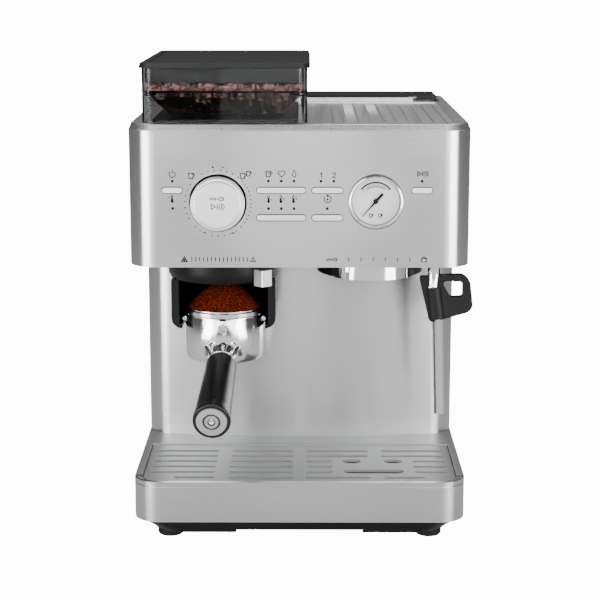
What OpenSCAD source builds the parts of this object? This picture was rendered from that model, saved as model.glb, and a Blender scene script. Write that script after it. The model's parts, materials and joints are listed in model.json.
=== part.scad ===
// Bean-to-cup espresso machine. The grinder is on the left, the brewing group is on the
// right, and the bean hopper, the water tank and the drip tray come off. Millimetres,
// +Z up, the front towards -Y, the origin at the centre of the footprint on the counter.

/* [Body] */
// Width of the head, the column and the base
body_w = 304; // [290:1:365]
// Depth of the base from the tray front to the rear edge
base_d = 344; // [340:1:415]
// How far the front of the head stands behind the tray front
head_setback = 4; // [0:0.5:12]
// How far the middle of the column stands behind the front of the head
column_setback = 149; // [145:1:156]
// Radius of the column's bowed front
bow_r = 900; // [700:10:1400]
// Radius of the column's corners
column_corner_r = 26; // [18:0.5:32]
// Radius of the front corners of the head
head_corner_r = 25; // [16:0.5:30]
// Radius of the front corners of the base
base_corner_r = 24; // [16:0.5:30]
// Radius of the rear corners of the head, the column and the base
rear_corner_r = 7; // [4:0.5:7]
// Height of the feet
foot_h = 8; // [5:0.5:14]
// Height of the pan under the base
pan_h = 13; // [10:0.5:20]
// Height of the base above its pan
base_h = 38; // [34:0.5:50]
// Height of the column
column_h = 198; // [190:1:240]
// Height of the steel wrap of the head
head_h = 121; // [116:1:150]
// Height of the cast frame on top
frame_h = 6; // [4:0.5:10]
// Thickness of the steel sheet
sheet_t = 1.5; // [1:0.1:2]

/* [Drip tray] */
// Length of the drawer front's corners, measured from the tray front
drawer_l = 25; // [24.5:0.5:40]
// Width of the side walls beside the tray
side_wall = 7; // [5:0.5:10]
// Depth of the grate from front to back
grate_d = 119.5; // [110:0.5:125]
// Number of slot rows in the grate
slot_rows = 6; // [4:1:7]
// Width of one slot
slot_w = 6; // [3:0.5:8]
// Wall of the drip tub
tub_t = 2.5; // [1.5:0.1:4]

/* [Controls] */
// Centre of the dial, from the middle of the body
dial_x = -71.8; // [-80:0.2:-66]
// Height of the dial's centre above the bottom of the head
dial_up = 57.5; // [50:0.5:64]
// Radius of the dial's skirt
dial_r = 23.8; // [19:0.1:28]
// How far the dial stands out
dial_proud = 14; // [9:0.5:18]
// Centre of the gauge, from the middle of the body
gauge_x = 67.6; // [64:0.2:74]
// Height of the gauge's centre above the bottom of the head
gauge_up = 58.8; // [50:0.5:64]
// Outer radius of the gauge's bezel
gauge_r = 24; // [19:0.1:26]
// Height of a push button
button_h = 5.2; // [4:0.1:7]
// How far a push button travels
button_travel = 1; // [0.5:0.1:1.1]

/* [Grinder] */
// Centre of the grinder outlet, from the middle of the body
outlet_x = -71; // [-76:0.5:-68]
// How far both outlets stand behind the front of the head
outlet_setback = 84; // [80:0.5:88]
// Radius of the grind-size ring
grind_ring_r = 52.5; // [48:0.5:56]
// Radius of the burr chamber inside
burr_chamber_r = 33; // [28:0.5:35]

/* [Group and filter holder] */
// Centre of the brewing group, from the middle of the body
group_x = 66; // [62:0.5:70]
// Radius of the bore that takes the filter holder
group_bore_r = 38; // [36:0.5:46]
// Wall of the group ring
group_wall = 3.5; // [2.5:0.1:5]
// Radial clearance between the group's bore and the filter holder's cup
cup_clearance = 0.5; // [0.3:0.1:1]
// Wall of the filter holder's cup
cup_wall = 6.5; // [4:0.1:8]
// Height of the filter holder's cup
cup_h = 47; // [40:0.5:56]
// Length of the grip
grip_l = 104; // [90:1:125]
// Radius of the grip where it meets the cup
grip_r = 14; // [12:0.5:16]

/* [Steam wand] */
// Centre of the wand's ball, from the middle of the body
wand_x = 126.5; // [124:0.5:128]
// How far the wand stands behind the front of the head
wand_setback = 73; // [68:0.5:80]
// Radius of the wand's thick upper tube
wand_upper_r = 6.2; // [5:0.1:7]
// Radius of the wand's thin lower tube
wand_lower_r = 5.1; // [4:0.1:6]

/* [Hopper and tank] */
// Width of the bean hopper
hopper_w = 146; // [130:1:150]
// Depth of the bean hopper
hopper_d = 226; // [200:1:232]
// Height of the bean hopper
hopper_h = 48; // [40:0.5:70]
// Wall of the bean hopper
hopper_t = 2.5; // [2:0.1:4]
// Depth of the water tank from front to back
tank_d = 86.5; // [80:0.5:88]
// Wall of the water tank
tank_t = 2.5; // [2:0.1:4]

/* [Hidden] */
$fn = 64;
cut = 1; // how far a cutting solid runs past a face
gap = 0.3; // running clearance between pieces that slide on each other
slide_gap = 0.5; // clearance round the tray and the tank
steel = "#c4c6c8";
bright = "#e2e4e6";
black = "#26272a";
grey = "#8d9094";

// Heights
pan_z = foot_h;
base_z = pan_z + pan_h;
deck_z = base_z + base_h;
head_z = deck_z + column_h;
frame_z = head_z + head_h;
top_z = frame_z + frame_h;

// Plan
half_w = body_w / 2;
front_y = -base_d / 2;
rear_y = base_d / 2;
shell_rear_y = rear_y - 4;
head_front_y = front_y + head_setback;
column_front_y = head_front_y + column_setback;
inner_half_w = half_w - sheet_t;
deck_t = 4;
cover_y = shell_rear_y - sheet_t;
cover_t = 3.5;

// Drip tray
bay_half_w = half_w - side_wall;
tub_half_w = bay_half_w - slide_gap;
tub_front_y = front_y + 4.5;
grate_rear_y = tub_front_y + 0.5 + grate_d;
deck_front_y = grate_rear_y + slide_gap;
tub_rear_y = deck_front_y + 16;
tub_z = base_z + slide_gap;
tub_top_z = deck_z - 7;
inner_corner_r = base_corner_r - 6;
grate_half_w = tub_half_w - slide_gap;
grate_top_z = deck_z - 1;
grate_t = 3;
insert_x = [34, 104];
float_size = [50, 34, 20];
float_x = (insert_x[0] + insert_x[1]) / 2;
slot_pitch = (grate_d - 34) / (slot_rows - 1);
insert_y = grate_rear_y - 20 - 3 * slot_pitch;

// Feet and pan
foot_r = 12;
foot_x = half_w - 32;
foot_y = base_d / 2 - 32;
foot_lip = 1.5;
pan_t = 3;
pan_side_in = 20;
pan_front_in = 10;
pan_top_in = 3;
notch_w = 116;
notch_h = 3;

// Outlets under the head
outlet_y = head_front_y + outlet_setback;
group_y = outlet_y;
chute_r = 16;
chute_bore_r = 13.5;
burr_x = outlet_x + 5;
burr_y = outlet_y + 44;
chamber_t = 3;
chamber_r = burr_chamber_r + chamber_t;
burr_z = head_z + 63;
burr_chamber_h = 46;
throat_r = 24;
motor_r = norm([burr_x - outlet_x, burr_y - outlet_y]) - chute_r - gap;
spindle_r = 4;
ring_top_z = head_z - 0.5;
ring_low_z = head_z - 22;
lever_angle = -50;
lever_l = 12;
lever_w = 12;
cradle_half_w = 48.5;
cradle_low_z = head_z - 69;
cradle_front_y = outlet_y - 22;
cup_r = group_bore_r - cup_clearance;
ear_r = group_bore_r + group_wall - 1;
lip_gap = 1; // round the cup, between the cradle's lips
ear_z = cradle_low_z + 4;
ear_h = 6.5;
ear_w = 22;

// Filter holder
cup_top_z = ear_z + 12.8;
cup_low_z = cup_top_z - cup_h;
cup_bore_r = cup_r - cup_wall;
basket_t = 1;
basket_r = cup_bore_r - 0.5;
basket_rim_r = cup_r - 1.5;
basket_rim_t = 1.2;
basket_low_z = cup_low_z + 8;
mound_r = basket_rim_r - 2;
mound_h = head_z - 28 - cup_top_z - basket_rim_t;
spout_r = 8;
spout_l = 18;
handle_pitch = 12;
handle_yaw = -0.8;
neck_from = cup_r - 3;
neck_z = cup_low_z + 7.5;
neck_l = 21;
neck_r = 9;
ferrule_l = 5;

// Group
group_ring_r = group_bore_r + group_wall;
group_low_z = head_z - 20;
group_web_z = head_z - 5;
gasket_t = 4.5;
groove_z = group_web_z - gasket_t - 0.5;
groove_r = group_bore_r + 0.5;
screen_r = 29.3;
flange_r = group_ring_r + 8;
flange_y = column_front_y - flange_r - 3.5;
group_block_r = 36;
coil_x = group_x + 12;
coil_y = group_y + 74;
coil_r = 33;

// Controls on the front, as [x, height above the bottom of the head, width]
dial_z = head_z + dial_up;
gauge_z = head_z + gauge_up;
power_at = [-112, 69, 17.6];
drink_at = [-16, 69, 42.6];
temperature_at = [-16, 44.7, 42.6];
shots_at = [24.6, 69, 26.7];
clean_at = [24.6, 44.7, 26.7];
steam_at = [108, 69, 17.9];
buttons = [power_at, drink_at, temperature_at, shots_at, clean_at, steam_at];
button_proud = 1.2;
button_back = 9;
light_r = 1.2;
light_gap = 0.1;
upper_light_up = 77.2;
lower_light_up = 52.8;
upper_lights = [-111.8, -27.2, -15.9, -4.7, 19, 30.3, 107.9];
lower_lights = [-111.8, -27.2, -15.9, -4.7, 24.6];
dial_cap_r = dial_r - 3;
dial_hole_r = dial_r + 1.7;
recess_t = 0.9;
recess_d = 6;
dial_back = 3.4;
shaft_r = 3;
shaft_gap = 0.08;
board_d = 12;
board_t = 1.6;
bezel_t = 2.3;
gauge_tube_r = gauge_r - 1.2;
gauge_bore_r = gauge_r - bezel_t;
gauge_d = 16;
needle_angle = 228.8;
needle_l = 17.7 * gauge_r / 24;

// Steam wand
wand_y = head_front_y + wand_setback;
wand_z = head_z + 7;
ball_r = 9;
yoke_r = 12.2;
socket_r = 12.6;
socket_h = 20;
gimbal_pin_r = 1.5;
yoke_h = 6;
wand_bend = [wand_x - 2, wand_y, head_z - 31];
wand_knee = [wand_x + 2.5, wand_y, head_z - 61];
wand_tip = [wand_x + 5.5, wand_y, head_z - 153];
bend_r = wand_upper_r + 0.5;
knee_r = wand_lower_r + 0.5;

// Hopper
hopper_x = burr_x;
hopper_y0 = head_front_y + 10;
hopper_y1 = hopper_y0 + hopper_d;
hopper_cy = (hopper_y0 + hopper_y1) / 2;
hopper_half_w = hopper_w / 2;
hopper_corner_r = 9;
hopper_top_z = top_z + hopper_h;
funnel_top_z = top_z + 26;
funnel_low_z = top_z + 7;
funnel_half = [50, 74];
floor_t = 2;
beans_top_z = top_z + 34.5;
lid_skirt_z = top_z + 35;
lid_over = 2.6;
lid_h = 4.5;
seat_h = 2;

// Tank and its bay
bay_wall = 3;
bay_floor_z = head_z - 127;
bay_floor_t = 4;
bay_front_y = shell_rear_y - tank_d - slide_gap - bay_wall;
tank_front_y = bay_front_y + bay_wall + slide_gap;
tank_rear_y = shell_rear_y - 0.5;
tank_half_w = inner_half_w - 10;
tank_bay_half_w = tank_half_w + slide_gap + 0.5;
tank_low_z = bay_floor_z + bay_floor_t + slide_gap;
tank_corner_r = 8;
tank_deck_d = 20;
tank_deck_t = 12;
tank_lid_t = 4;
valve_x = 20;
valve_r = 7.5;
bail_half_w = tank_half_w - 28;
bail_y = tank_front_y + 15.5;
bail_t = 4;
bail_z = top_z + 2;
hinge_y = tank_rear_y - 2.2;
hinge_z = top_z + 2.3;

// Rear panel and pump
gland_x = -110;
gland_z = deck_z + 30;
gland_r = 8;
screw_r = 1.8;
pump_x = 60;
pump_z = deck_z + 46;
pump_r = 22;
pump_y0 = column_front_y + 24;
pump_y1 = bay_front_y - 12;
line_r = 3;
fitting_r = 3.8;

// Cup tray between the hopper and the right edge
cup_tray_x0 = hopper_x + hopper_half_w + 6;
cup_tray_x1 = half_w - 15;
cup_tray_y0 = head_front_y + 14;
cup_tray_y1 = bay_front_y - 3;
groove_pitch = 11.2;
groove_w = 2.2;

// ---- Shared shapes -------------------------------------------------------------------

// A solid box between its lowest and its highest corner.
module block(low, high) translate(low) cube(high - low);

// A tube, or a disc where the bore is 0.
module ring(r, bore, z0, z1) translate([0, 0, z0]) difference() {
    cylinder(h = z1 - z0, r = r);
    if (bore > 0) translate([0, 0, -cut]) cylinder(h = z1 - z0 + 2 * cut, r = bore);
}

// A plan outline, symmetric about X, with one radius in front and another behind.
module outline(hw, y0, y1, rf, rb) {
    translate([-hw, y0 + rf]) square([2 * hw, y1 - rb - y0 - rf]);
    translate([-hw + rf, y0]) square([2 * (hw - rf), y1 - rb - y0]);
    translate([-hw + rb, y0 + rf]) square([2 * (hw - rb), y1 - y0 - rf]);
    for (side = [-1, 1]) {
        translate([side * (hw - rf), y0 + rf]) circle(rf);
        translate([side * (hw - rb), y1 - rb]) circle(rb);
    }
}

// A slab on a plan outline.
module slab(z0, z1, hw, y0, y1, rf, rb) translate([0, 0, z0]) linear_extrude(z1 - z0)
    outline(hw, y0, y1, rf, rb);

// A slab whose edge slopes in by the inset on all four sides.
module bevelled_slab(z0, h, hw, y0, y1, rf, rb, inset) {
    standing(y0 + rf, y1 - rb) polygon([[-hw, z0], [hw, z0], [hw - inset, z0 + h], [inset - hw, z0 + h]]);
    translate([rf - hw, 0, 0]) rotate([90, 0, 90]) linear_extrude(2 * (hw - rf))
        polygon([[y0, z0], [y1, z0], [y1 - inset, z0 + h], [y0 + inset, z0 + h]]);
    translate([rb - hw, 0, 0]) rotate([90, 0, 90]) linear_extrude(2 * (hw - rb))
        polygon([[y1 - rb - cut, z0], [y1, z0], [y1 - inset, z0 + h], [y1 - rb - cut, z0 + h]]);
    for (side = [-1, 1]) {
        translate([side * (hw - rf), y0 + rf, z0]) cylinder(h = h, r1 = rf, r2 = rf - inset);
        translate([side * (hw - rb), y1 - rb, z0]) cylinder(h = h, r1 = rb, r2 = rb - inset);
    }
}

// Turns a flat shape drawn in X and Z into a solid from y0 back to y1.
module standing(y0, y1) translate([0, y1, 0]) rotate([90, 0, 0]) linear_extrude(y1 - y0) children();

// Places a shape on the front of the head with its own +Z pointing out of it.
module facing(x, up) translate([x, head_front_y, head_z + up]) rotate([90, 0, 0]) children();

// A bar with round ends.
module pill(w, h) {
    square([w - h, h], center = true);
    for (side = [-1, 1]) translate([side * (w - h) / 2, 0]) circle(h / 2);
}

// A round tube through a list of points, with a fitting at each point.
module pipe(points, r, fitting_r) {
    for (i = [1 : len(points) - 1]) sleeve(points[i - 1], points[i], r);
    for (i = [1 : len(points) - 2]) translate(points[i]) sphere(fitting_r);
}

// ---- Base ----------------------------------------------------------------------------

module base_pan() color(black) {
    difference() {
        hull() {
            slab(pan_z, pan_z + 0.5, half_w - pan_side_in, front_y + pan_front_in, rear_y - pan_front_in,
                base_corner_r, rear_corner_r, $fn = 32);
            slab(base_z - 0.5, base_z, half_w - pan_top_in, front_y + pan_top_in, rear_y - pan_top_in,
                base_corner_r, rear_corner_r, $fn = 32);
        }
        slab(pan_z - cut, base_z - pan_t, half_w - pan_side_in - pan_t, front_y + pan_front_in + pan_t,
            rear_y - pan_front_in - pan_t, base_corner_r, rear_corner_r);
        block([-notch_w / 2, front_y, pan_z - cut], [notch_w / 2, front_y + pan_front_in + pan_t + cut,
            pan_z + notch_h]);
    }
    at_feet() ring(foot_r + 2, 0, pan_z, base_z - pan_t);
}

module at_feet() for (x = [-foot_x, foot_x], y = [-foot_y, foot_y]) translate([x, y, 0]) children();

module feet() color("#1c1c1d") at_feet() {
    cylinder(h = foot_lip, r1 = foot_r - foot_lip, r2 = foot_r);
    translate([0, 0, foot_lip]) cylinder(h = foot_h - foot_lip, r = foot_r);
}

// Side walls, deck and rear of the base: the tray slides in from the front under the deck.
module base_housing() color(steel) difference() {
    slab(base_z, deck_z, half_w, front_y, rear_y, base_corner_r, rear_corner_r);
    block([-half_w - cut, front_y - cut, base_z - cut], [half_w + cut, front_y + drawer_l, deck_z + cut]);
    block([-bay_half_w, front_y, base_z - cut], [bay_half_w, deck_front_y, deck_z + cut]);
    block([-bay_half_w, front_y, base_z - cut], [bay_half_w, tub_rear_y + slide_gap, deck_z - deck_t]);
    block([-bay_half_w, tub_rear_y + 4, base_z - cut], [bay_half_w, shell_rear_y - 4, deck_z - deck_t]);
}

// Steel drawer front with both corners: its top edge is a lip round the grate.
module tray_front() color(steel) difference() {
    slab(base_z, deck_z, half_w, front_y, rear_y, base_corner_r, rear_corner_r);
    block([-half_w - cut, front_y + drawer_l - gap, base_z - cut], [half_w + cut, rear_y + cut, deck_z + cut]);
    slab(base_z - cut, deck_z + cut, bay_half_w, tub_front_y, rear_y, inner_corner_r, rear_corner_r);
    difference() {
        slab(deck_z - 4.8, deck_z - 4, half_w + cut, front_y - cut, rear_y, base_corner_r, rear_corner_r);
        slab(deck_z - 5, deck_z - 3, half_w - 0.6, front_y + 0.6, rear_y, base_corner_r, rear_corner_r);
    }
}

module tray_tub() color("#4a4c4f") difference() {
    slab(tub_z, tub_top_z, tub_half_w, tub_front_y, tub_rear_y, inner_corner_r, rear_corner_r);
    slab(tub_z + tub_t, tub_top_z + cut, tub_half_w - tub_t, tub_front_y + tub_t, tub_rear_y - tub_t,
        inner_corner_r - tub_t, rear_corner_r - tub_t);
}

module slot(x0, x1, y) translate([(x0 + x1) / 2, y]) pill(x1 - x0, slot_w);

// Slots run side to side in four columns; a flat insert with three openings breaks them.
module grate_slots() {
    edge = grate_half_w - 6;
    bridge = 12;
    column = (edge - 6 - 1.5 * bridge) / 2 + 3;
    for (row = [0 : slot_rows - 1]) {
        y = grate_rear_y - 20 - row * slot_pitch;
        near_insert = abs(y - insert_y) < 1.5 * slot_pitch;
        outer = row == slot_rows - 1 ? edge - 22 : edge;
        for (side = [-1, 1]) {
            if (side < 0 || !near_insert) {
                slot(min(side * outer, side * (outer - (outer - bridge / 2 - column - bridge))),
                    max(side * outer, side * (column + 1.5 * bridge)), y);
                slot(min(side * bridge / 2, side * (column + bridge / 2)),
                    max(side * bridge / 2, side * (column + bridge / 2)), y);
            } else {
                slot(bridge / 2, insert_x[0] - 3, y);
                slot(insert_x[1] + 3, outer, y);
            }
        }
    }
}

module insert_holes() {
    for (x = [insert_x[0] + 15.5, insert_x[1] - 15.5]) translate([x, insert_y + slot_pitch]) pill(17, 12);
    translate([float_x, insert_y - slot_pitch + 2]) pill(56, 12);
}

module tray_grate() color(steel) {
    difference() {
        slab(grate_top_z - grate_t, grate_top_z, grate_half_w, tub_front_y + 0.5, grate_rear_y,
            inner_corner_r - 0.5, 2);
        translate([0, 0, grate_top_z - grate_t - cut]) linear_extrude(grate_t + 2 * cut) {
            grate_slots();
            insert_holes();
        }
    }
    difference() {
        slab(tub_top_z, grate_top_z - grate_t, grate_half_w, tub_front_y + 0.5, grate_rear_y,
            inner_corner_r - 0.5, 2);
        slab(tub_top_z - cut, deck_z, grate_half_w - 2, tub_front_y + 2.5, grate_rear_y - 2,
            inner_corner_r - 2.5, 1);
    }
}

// Float on the floor of the tub, under the openings of the grate.
module tray_float() color("#b03a2e") {
    x = float_size[0] / 2;
    y = float_size[1] / 2;
    translate([float_x, insert_y, tub_z + tub_t]) {
        slab(0, float_size[2], x, -y, y, 5, 5);
        ring(3, 0, float_size[2], float_size[2] + 3);
    }
}

// ---- Column and head -----------------------------------------------------------------

// Plan of the column: a bowed front that runs tangent into the corners.
module bow(front, back, hw, r_bow, r) {
    bow_cy = front + r_bow;
    cx = hw - r;
    cy = bow_cy - sqrt(pow(r_bow - r, 2) - cx * cx);
    reach = (r_bow + 10) / (r_bow - r);
    intersection() {
        translate([0, bow_cy]) circle(r_bow, $fn = 256);
        polygon([[-cx * reach, bow_cy + (cy - bow_cy) * reach], [cx * reach, bow_cy + (cy - bow_cy) * reach],
            [cx, cy], [cx, back], [-cx, back], [-cx, cy]]);
    }
    for (side = [-1, 1]) translate([side * cx, cy]) circle(r);
    translate([-hw, cy]) square([2 * hw, back - cy]);
}

module column_shell() color(steel) translate([0, 0, deck_z]) difference() {
    linear_extrude(column_h) bow(column_front_y, shell_rear_y, half_w, bow_r, column_corner_r);
    translate([0, 0, -cut]) linear_extrude(column_h + 2 * cut)
        bow(column_front_y + sheet_t, shell_rear_y + cut, inner_half_w, bow_r - sheet_t,
            column_corner_r - sheet_t);
}

module head_shell() color(steel) difference() {
    slab(head_z, frame_z, half_w, head_front_y, shell_rear_y, head_corner_r, rear_corner_r);
    slab(head_z - cut, frame_z + cut, inner_half_w, head_front_y + sheet_t, shell_rear_y - sheet_t,
        head_corner_r - sheet_t, rear_corner_r - sheet_t);
    block([-tank_bay_half_w, shell_rear_y - 3, head_z - cut], [tank_bay_half_w, shell_rear_y + cut,
        frame_z + cut]);
    facing(dial_x, dial_up) ring(dial_hole_r, 0, -3 * cut, cut);
    facing(gauge_x, gauge_up) ring(gauge_tube_r, 0, -3 * cut, cut);
    for (b = buttons) facing(b[0], b[1]) translate([0, 0, -3 * cut]) linear_extrude(4 * cut)
        pill(b[2] + 2 * gap, button_h + 2 * gap);
    at_lights() ring(light_r + light_gap, 0, -3 * cut, cut);
}

// Floor of the head. A socket for the wand's ball stands on it.
module head_underside() color(grey) difference() {
    union() {
        intersection() {
            slab(head_z, head_z + 2, inner_half_w, head_front_y + sheet_t, shell_rear_y - sheet_t,
                head_corner_r - sheet_t, rear_corner_r - sheet_t);
            block([-half_w, head_front_y, head_z - cut], [half_w, bay_front_y, head_z + 3]);
        }
        translate([wand_x, wand_y, 0]) ring(socket_r + 3, 0, head_z, head_z + socket_h + 3);
    }
    translate([wand_x, wand_y, 0]) ring(socket_r, 0, head_z - cut, head_z + socket_h);
    at_ball() rotate([90, 0, 0]) ring(gimbal_pin_r + shaft_gap, 0, -socket_r - 4, socket_r + 4);
    translate([outlet_x, outlet_y, 0]) ring(chute_r, 0, head_z - cut, head_z + 3);
    translate([group_x, group_y, 0]) ring(group_block_r, 0, head_z - cut, head_z + 3);
    block([40, coil_y + coil_r + 5, head_z - cut], [80, bay_front_y - 10, head_z + 3]);
}

module group_flange() color(black) difference() {
    translate([group_x, flange_y, 0]) ring(flange_r, 0, head_z - 19, head_z);
    translate([group_x, group_y, 0]) ring(group_ring_r, 0, head_z - 20, head_z + cut);
}

// Cast frame with openings for the tank, the cup tray and the grinder's throat.
module top_frame() color(bright) difference() {
    bevelled_slab(frame_z, frame_h, half_w, head_front_y, shell_rear_y, head_corner_r, rear_corner_r, 2.5);
    block([-tank_bay_half_w, tank_front_y - slide_gap, frame_z - cut],
        [tank_bay_half_w, shell_rear_y + cut, top_z + cut]);
    block([cup_tray_x0, cup_tray_y0, top_z - 4], [cup_tray_x1, cup_tray_y1, top_z + cut]);
    block([cup_tray_x0 + 6, cup_tray_y0 + 6, frame_z - cut], [cup_tray_x1 - 6, cup_tray_y1 - 6, top_z]);
    translate([burr_x, burr_y, 0]) ring(throat_r, 0, frame_z - cut, top_z + cut);
}

// Grooved warming plate, set into the frame.
module cup_tray() color(steel) difference() {
    block([cup_tray_x0, cup_tray_y0, top_z - 4], [cup_tray_x1, cup_tray_y1, top_z - 1.5]);
    width = cup_tray_x1 - cup_tray_x0;
    grooves = floor((width - 8) / groove_pitch);
    for (i = [0 : grooves]) {
        x = (cup_tray_x0 + cup_tray_x1) / 2 + (i - grooves / 2) * groove_pitch;
        block([x - groove_w / 2, cup_tray_y0 + 5, top_z - 2.3], [x + groove_w / 2, cup_tray_y1 - 5, top_z]);
    }
}

module hopper_seat() color(black) difference() {
    translate([hopper_x, 0, 0]) slab(top_z, top_z + seat_h, hopper_half_w - hopper_t - 6,
        hopper_y0 + hopper_t + 6, hopper_y1 - hopper_t - 6, 6, 6);
    translate([burr_x, burr_y, 0]) ring(throat_r, 0, top_z - cut, top_z + seat_h + cut);
}

// Rear moulding: the cover of the column and, above it, the bay of the water tank.
module rear_panel() color("#3a3b3e") difference() {
    intersection() {
        panel_blocks();
        slab(deck_z - cut, frame_z + cut, inner_half_w, bay_front_y - 10, cover_y, 5, rear_corner_r - sheet_t);
    }
    for (i = [0 : 6]) block([-30 + i * 16, cover_y - 10, deck_z + 18], [-24 + i * 16, cover_y + cut, deck_z + 52]);
    translate([gland_x, cover_y, gland_z]) rotate([90, 0, 0]) ring(gland_r, 0, -cut, 10);
    translate([valve_x, tank_front_y + 30, 0]) ring(valve_r + 0.7, 0, bay_floor_z - cut,
        bay_floor_z + bay_floor_t + cut);
    at_screws() ring(screw_r, 0, -10, cut);
}

module panel_blocks() {
    block([-inner_half_w, cover_y - cover_t, deck_z], [inner_half_w, cover_y, bay_floor_z]);
    for (side = [-1, 1]) {
        x = side * (tank_bay_half_w + bay_wall);
        block([min(x, side * inner_half_w), cover_y - cover_t, bay_floor_z],
            [max(x, side * inner_half_w), cover_y, frame_z]);
        block([min(x, side * tank_bay_half_w), bay_front_y, bay_floor_z],
            [max(x, side * tank_bay_half_w), cover_y, frame_z]);
    }
    block([-tank_bay_half_w, bay_front_y, bay_floor_z], [tank_bay_half_w, bay_front_y + bay_wall, frame_z]);
    block([-tank_bay_half_w, bay_front_y, bay_floor_z], [tank_bay_half_w, cover_y, bay_floor_z + bay_floor_t]);
}

// The screws run in from the rear face of the cover.
module at_screws() for (x = [-inner_half_w + 8, inner_half_w - 8], z = [deck_z + 12, bay_floor_z - 12])
    translate([x, cover_y, z]) rotate([-90, 0, 0]) children();

module panel_screws() color(steel) at_screws() {
    ring(screw_r, 0, -8, 0);
    difference() {
        cylinder(h = 1.4, r1 = 3.6, r2 = 2.8);
        translate([0, 0, 0.5]) cylinder(h = 2, r = 1.6, $fn = 6);
    }
}

module cord_gland() color("#1c1c1d") translate([gland_x, cover_y, gland_z]) rotate([-90, 0, 0]) {
    ring(gland_r, 3.8, -cover_t - 6, 0);
    ring(gland_r + 3, 3.8, 0, 4);
}

// ---- Front controls ------------------------------------------------------------------

module at_lights() {
    for (x = upper_lights) facing(x, upper_light_up) children();
    for (x = lower_lights) facing(x, lower_light_up) children();
}

module status_lights() color("#2a2a2a") at_lights() ring(light_r, 0, -button_back, 0.15);

module dial_recess() color("#55585c") facing(dial_x, dial_up) {
    ring(dial_hole_r, dial_hole_r - recess_t, -recess_d, 0);
    ring(dial_hole_r, shaft_r + 1, -recess_d - 1, -recess_d);
}

module dial_shaft() color(grey) facing(dial_x, dial_up) ring(shaft_r, 0, -22, 4);

module dial_knob() color(bright) facing(dial_x, dial_up) difference() {
    rotate_extrude() polygon([[0, -dial_back], [dial_r - 1, -dial_back], [dial_r, 1 - dial_back],
        [dial_r, dial_proud - 4.5], [dial_r - 1, dial_proud - 3.2], [dial_cap_r, dial_proud - 3.2],
        [dial_cap_r, dial_proud - 0.8], [dial_cap_r - 0.8, dial_proud], [0, dial_proud]]);
    ring(shaft_r + shaft_gap, 0, -dial_back - cut, 4.2);
}

module button(at) color(bright) facing(at[0], at[1]) translate([0, 0, -button_back])
    linear_extrude(button_back + button_proud) pill(at[2], button_h);

module power_button() button(power_at);
module drink_button() button(drink_at);
module temperature_button() button(temperature_at);
module shots_button() button(shots_at);
module clean_button() button(clean_at);
module steam_button() button(steam_at);

// One board behind the buttons, with a switch for each and the dial's encoder.
module control_board() color("#2f6b3c") {
    difference() {
        union() {
            board_plate(power_at[0] - 12, shots_at[0] + 17, 34, 84);
            board_plate(shots_at[0] + 10, steam_at[0] + 12, gauge_up + gauge_r + 2, gauge_up + gauge_r + 9);
            board_plate(gauge_x + gauge_r + 3, steam_at[0] + 12, 60, gauge_up + gauge_r + 9);
        }
        facing(dial_x, dial_up) ring(shaft_r + 1, 0, -board_d - 5, 0);
    }
    facing(dial_x, dial_up) ring(8, shaft_r + 0.5, -board_d - board_t - 6, -board_d - board_t);
    for (b = buttons) facing(b[0], b[1]) translate([0, 0, -board_d]) linear_extrude(board_d - button_back
        - button_travel - 0.4) square([4, 4], center = true);
}

module board_plate(x0, x1, up0, up1) block([x0, head_front_y + board_d, head_z + up0],
    [x1, head_front_y + board_d + board_t, head_z + up1]);

module gauge_case() color(bright) facing(gauge_x, gauge_up) rotate_extrude()
    polygon([[gauge_bore_r, -gauge_d + 2], [gauge_bore_r, 1.9], [gauge_bore_r + 0.7, 2.5],
        [gauge_r - 0.5, 2], [gauge_r, 1], [gauge_r, 0], [gauge_tube_r, 0], [gauge_tube_r, -gauge_d],
        [0, -gauge_d], [0, -gauge_d + 2]]);

module gauge_face() color("#f2f2f0") facing(gauge_x, gauge_up) ring(gauge_bore_r, 0.9, -6, -5);

module gauge_lens() color([0.9, 0.95, 1, 0.3]) facing(gauge_x, gauge_up) ring(gauge_bore_r, 0, -0.9, 0.3);

// Thin pointer with a broad tail, on the movement's spindle.
module gauge_needle() color("#1e1e20") facing(gauge_x, gauge_up) {
    translate([0, 0, -3.6]) rotate(needle_angle) linear_extrude(0.8) {
        polygon([[0, -0.8], [needle_l, -0.25], [needle_l, 0.25], [0, 0.8]]);
        translate([-needle_l * 0.52, -1.1]) square([needle_l * 0.52, 2.2]);
    }
    ring(2.2, 0, -4.4, -2.4);
    ring(0.6, 0, -13, -4.4);
}

// ---- Grinder -------------------------------------------------------------------------

module at_outlet() translate([outlet_x, outlet_y, 0]) children();
module at_burrs() translate([burr_x, burr_y, 0]) children();

// Burr chamber, throat up to the frame, and the chute that drops the grounds in front.
module grinder_housing() color(grey) difference() {
    union() {
        at_burrs() ring(chamber_r, 0, burr_z, burr_z + burr_chamber_h);
        at_burrs() ring(throat_r + 3, 0, burr_z, frame_z);
        at_outlet() ring(chute_r, 0, head_z - 21, burr_z + 25);
    }
    at_burrs() ring(burr_chamber_r, 0, burr_z + 3, burr_z + burr_chamber_h - 3);
    at_burrs() ring(throat_r, 0, burr_z + burr_chamber_h - 4, frame_z + cut);
    at_burrs() ring(spindle_r + gap, 0, burr_z - cut, burr_z + 4);
    at_outlet() ring(chute_bore_r, 0, head_z - 22, burr_z + 22);
}

module grinder_motor() color("#6f7276") at_burrs() {
    ring(motor_r, 0, head_z + 5, burr_z - 20);
    ring(motor_r, spindle_r + gap, burr_z - 20, burr_z);
}

// Cone burr on the motor's spindle.
module lower_burr() color("#b4b7ba") at_burrs() {
    ring(spindle_r, 0, burr_z - 19, burr_z + 30);
    ring(burr_chamber_r - 5, 0, burr_z + 4, burr_z + 6);
    translate([0, 0, burr_z + 6]) cylinder(h = 20, r1 = 20, r2 = 11);
}

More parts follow.
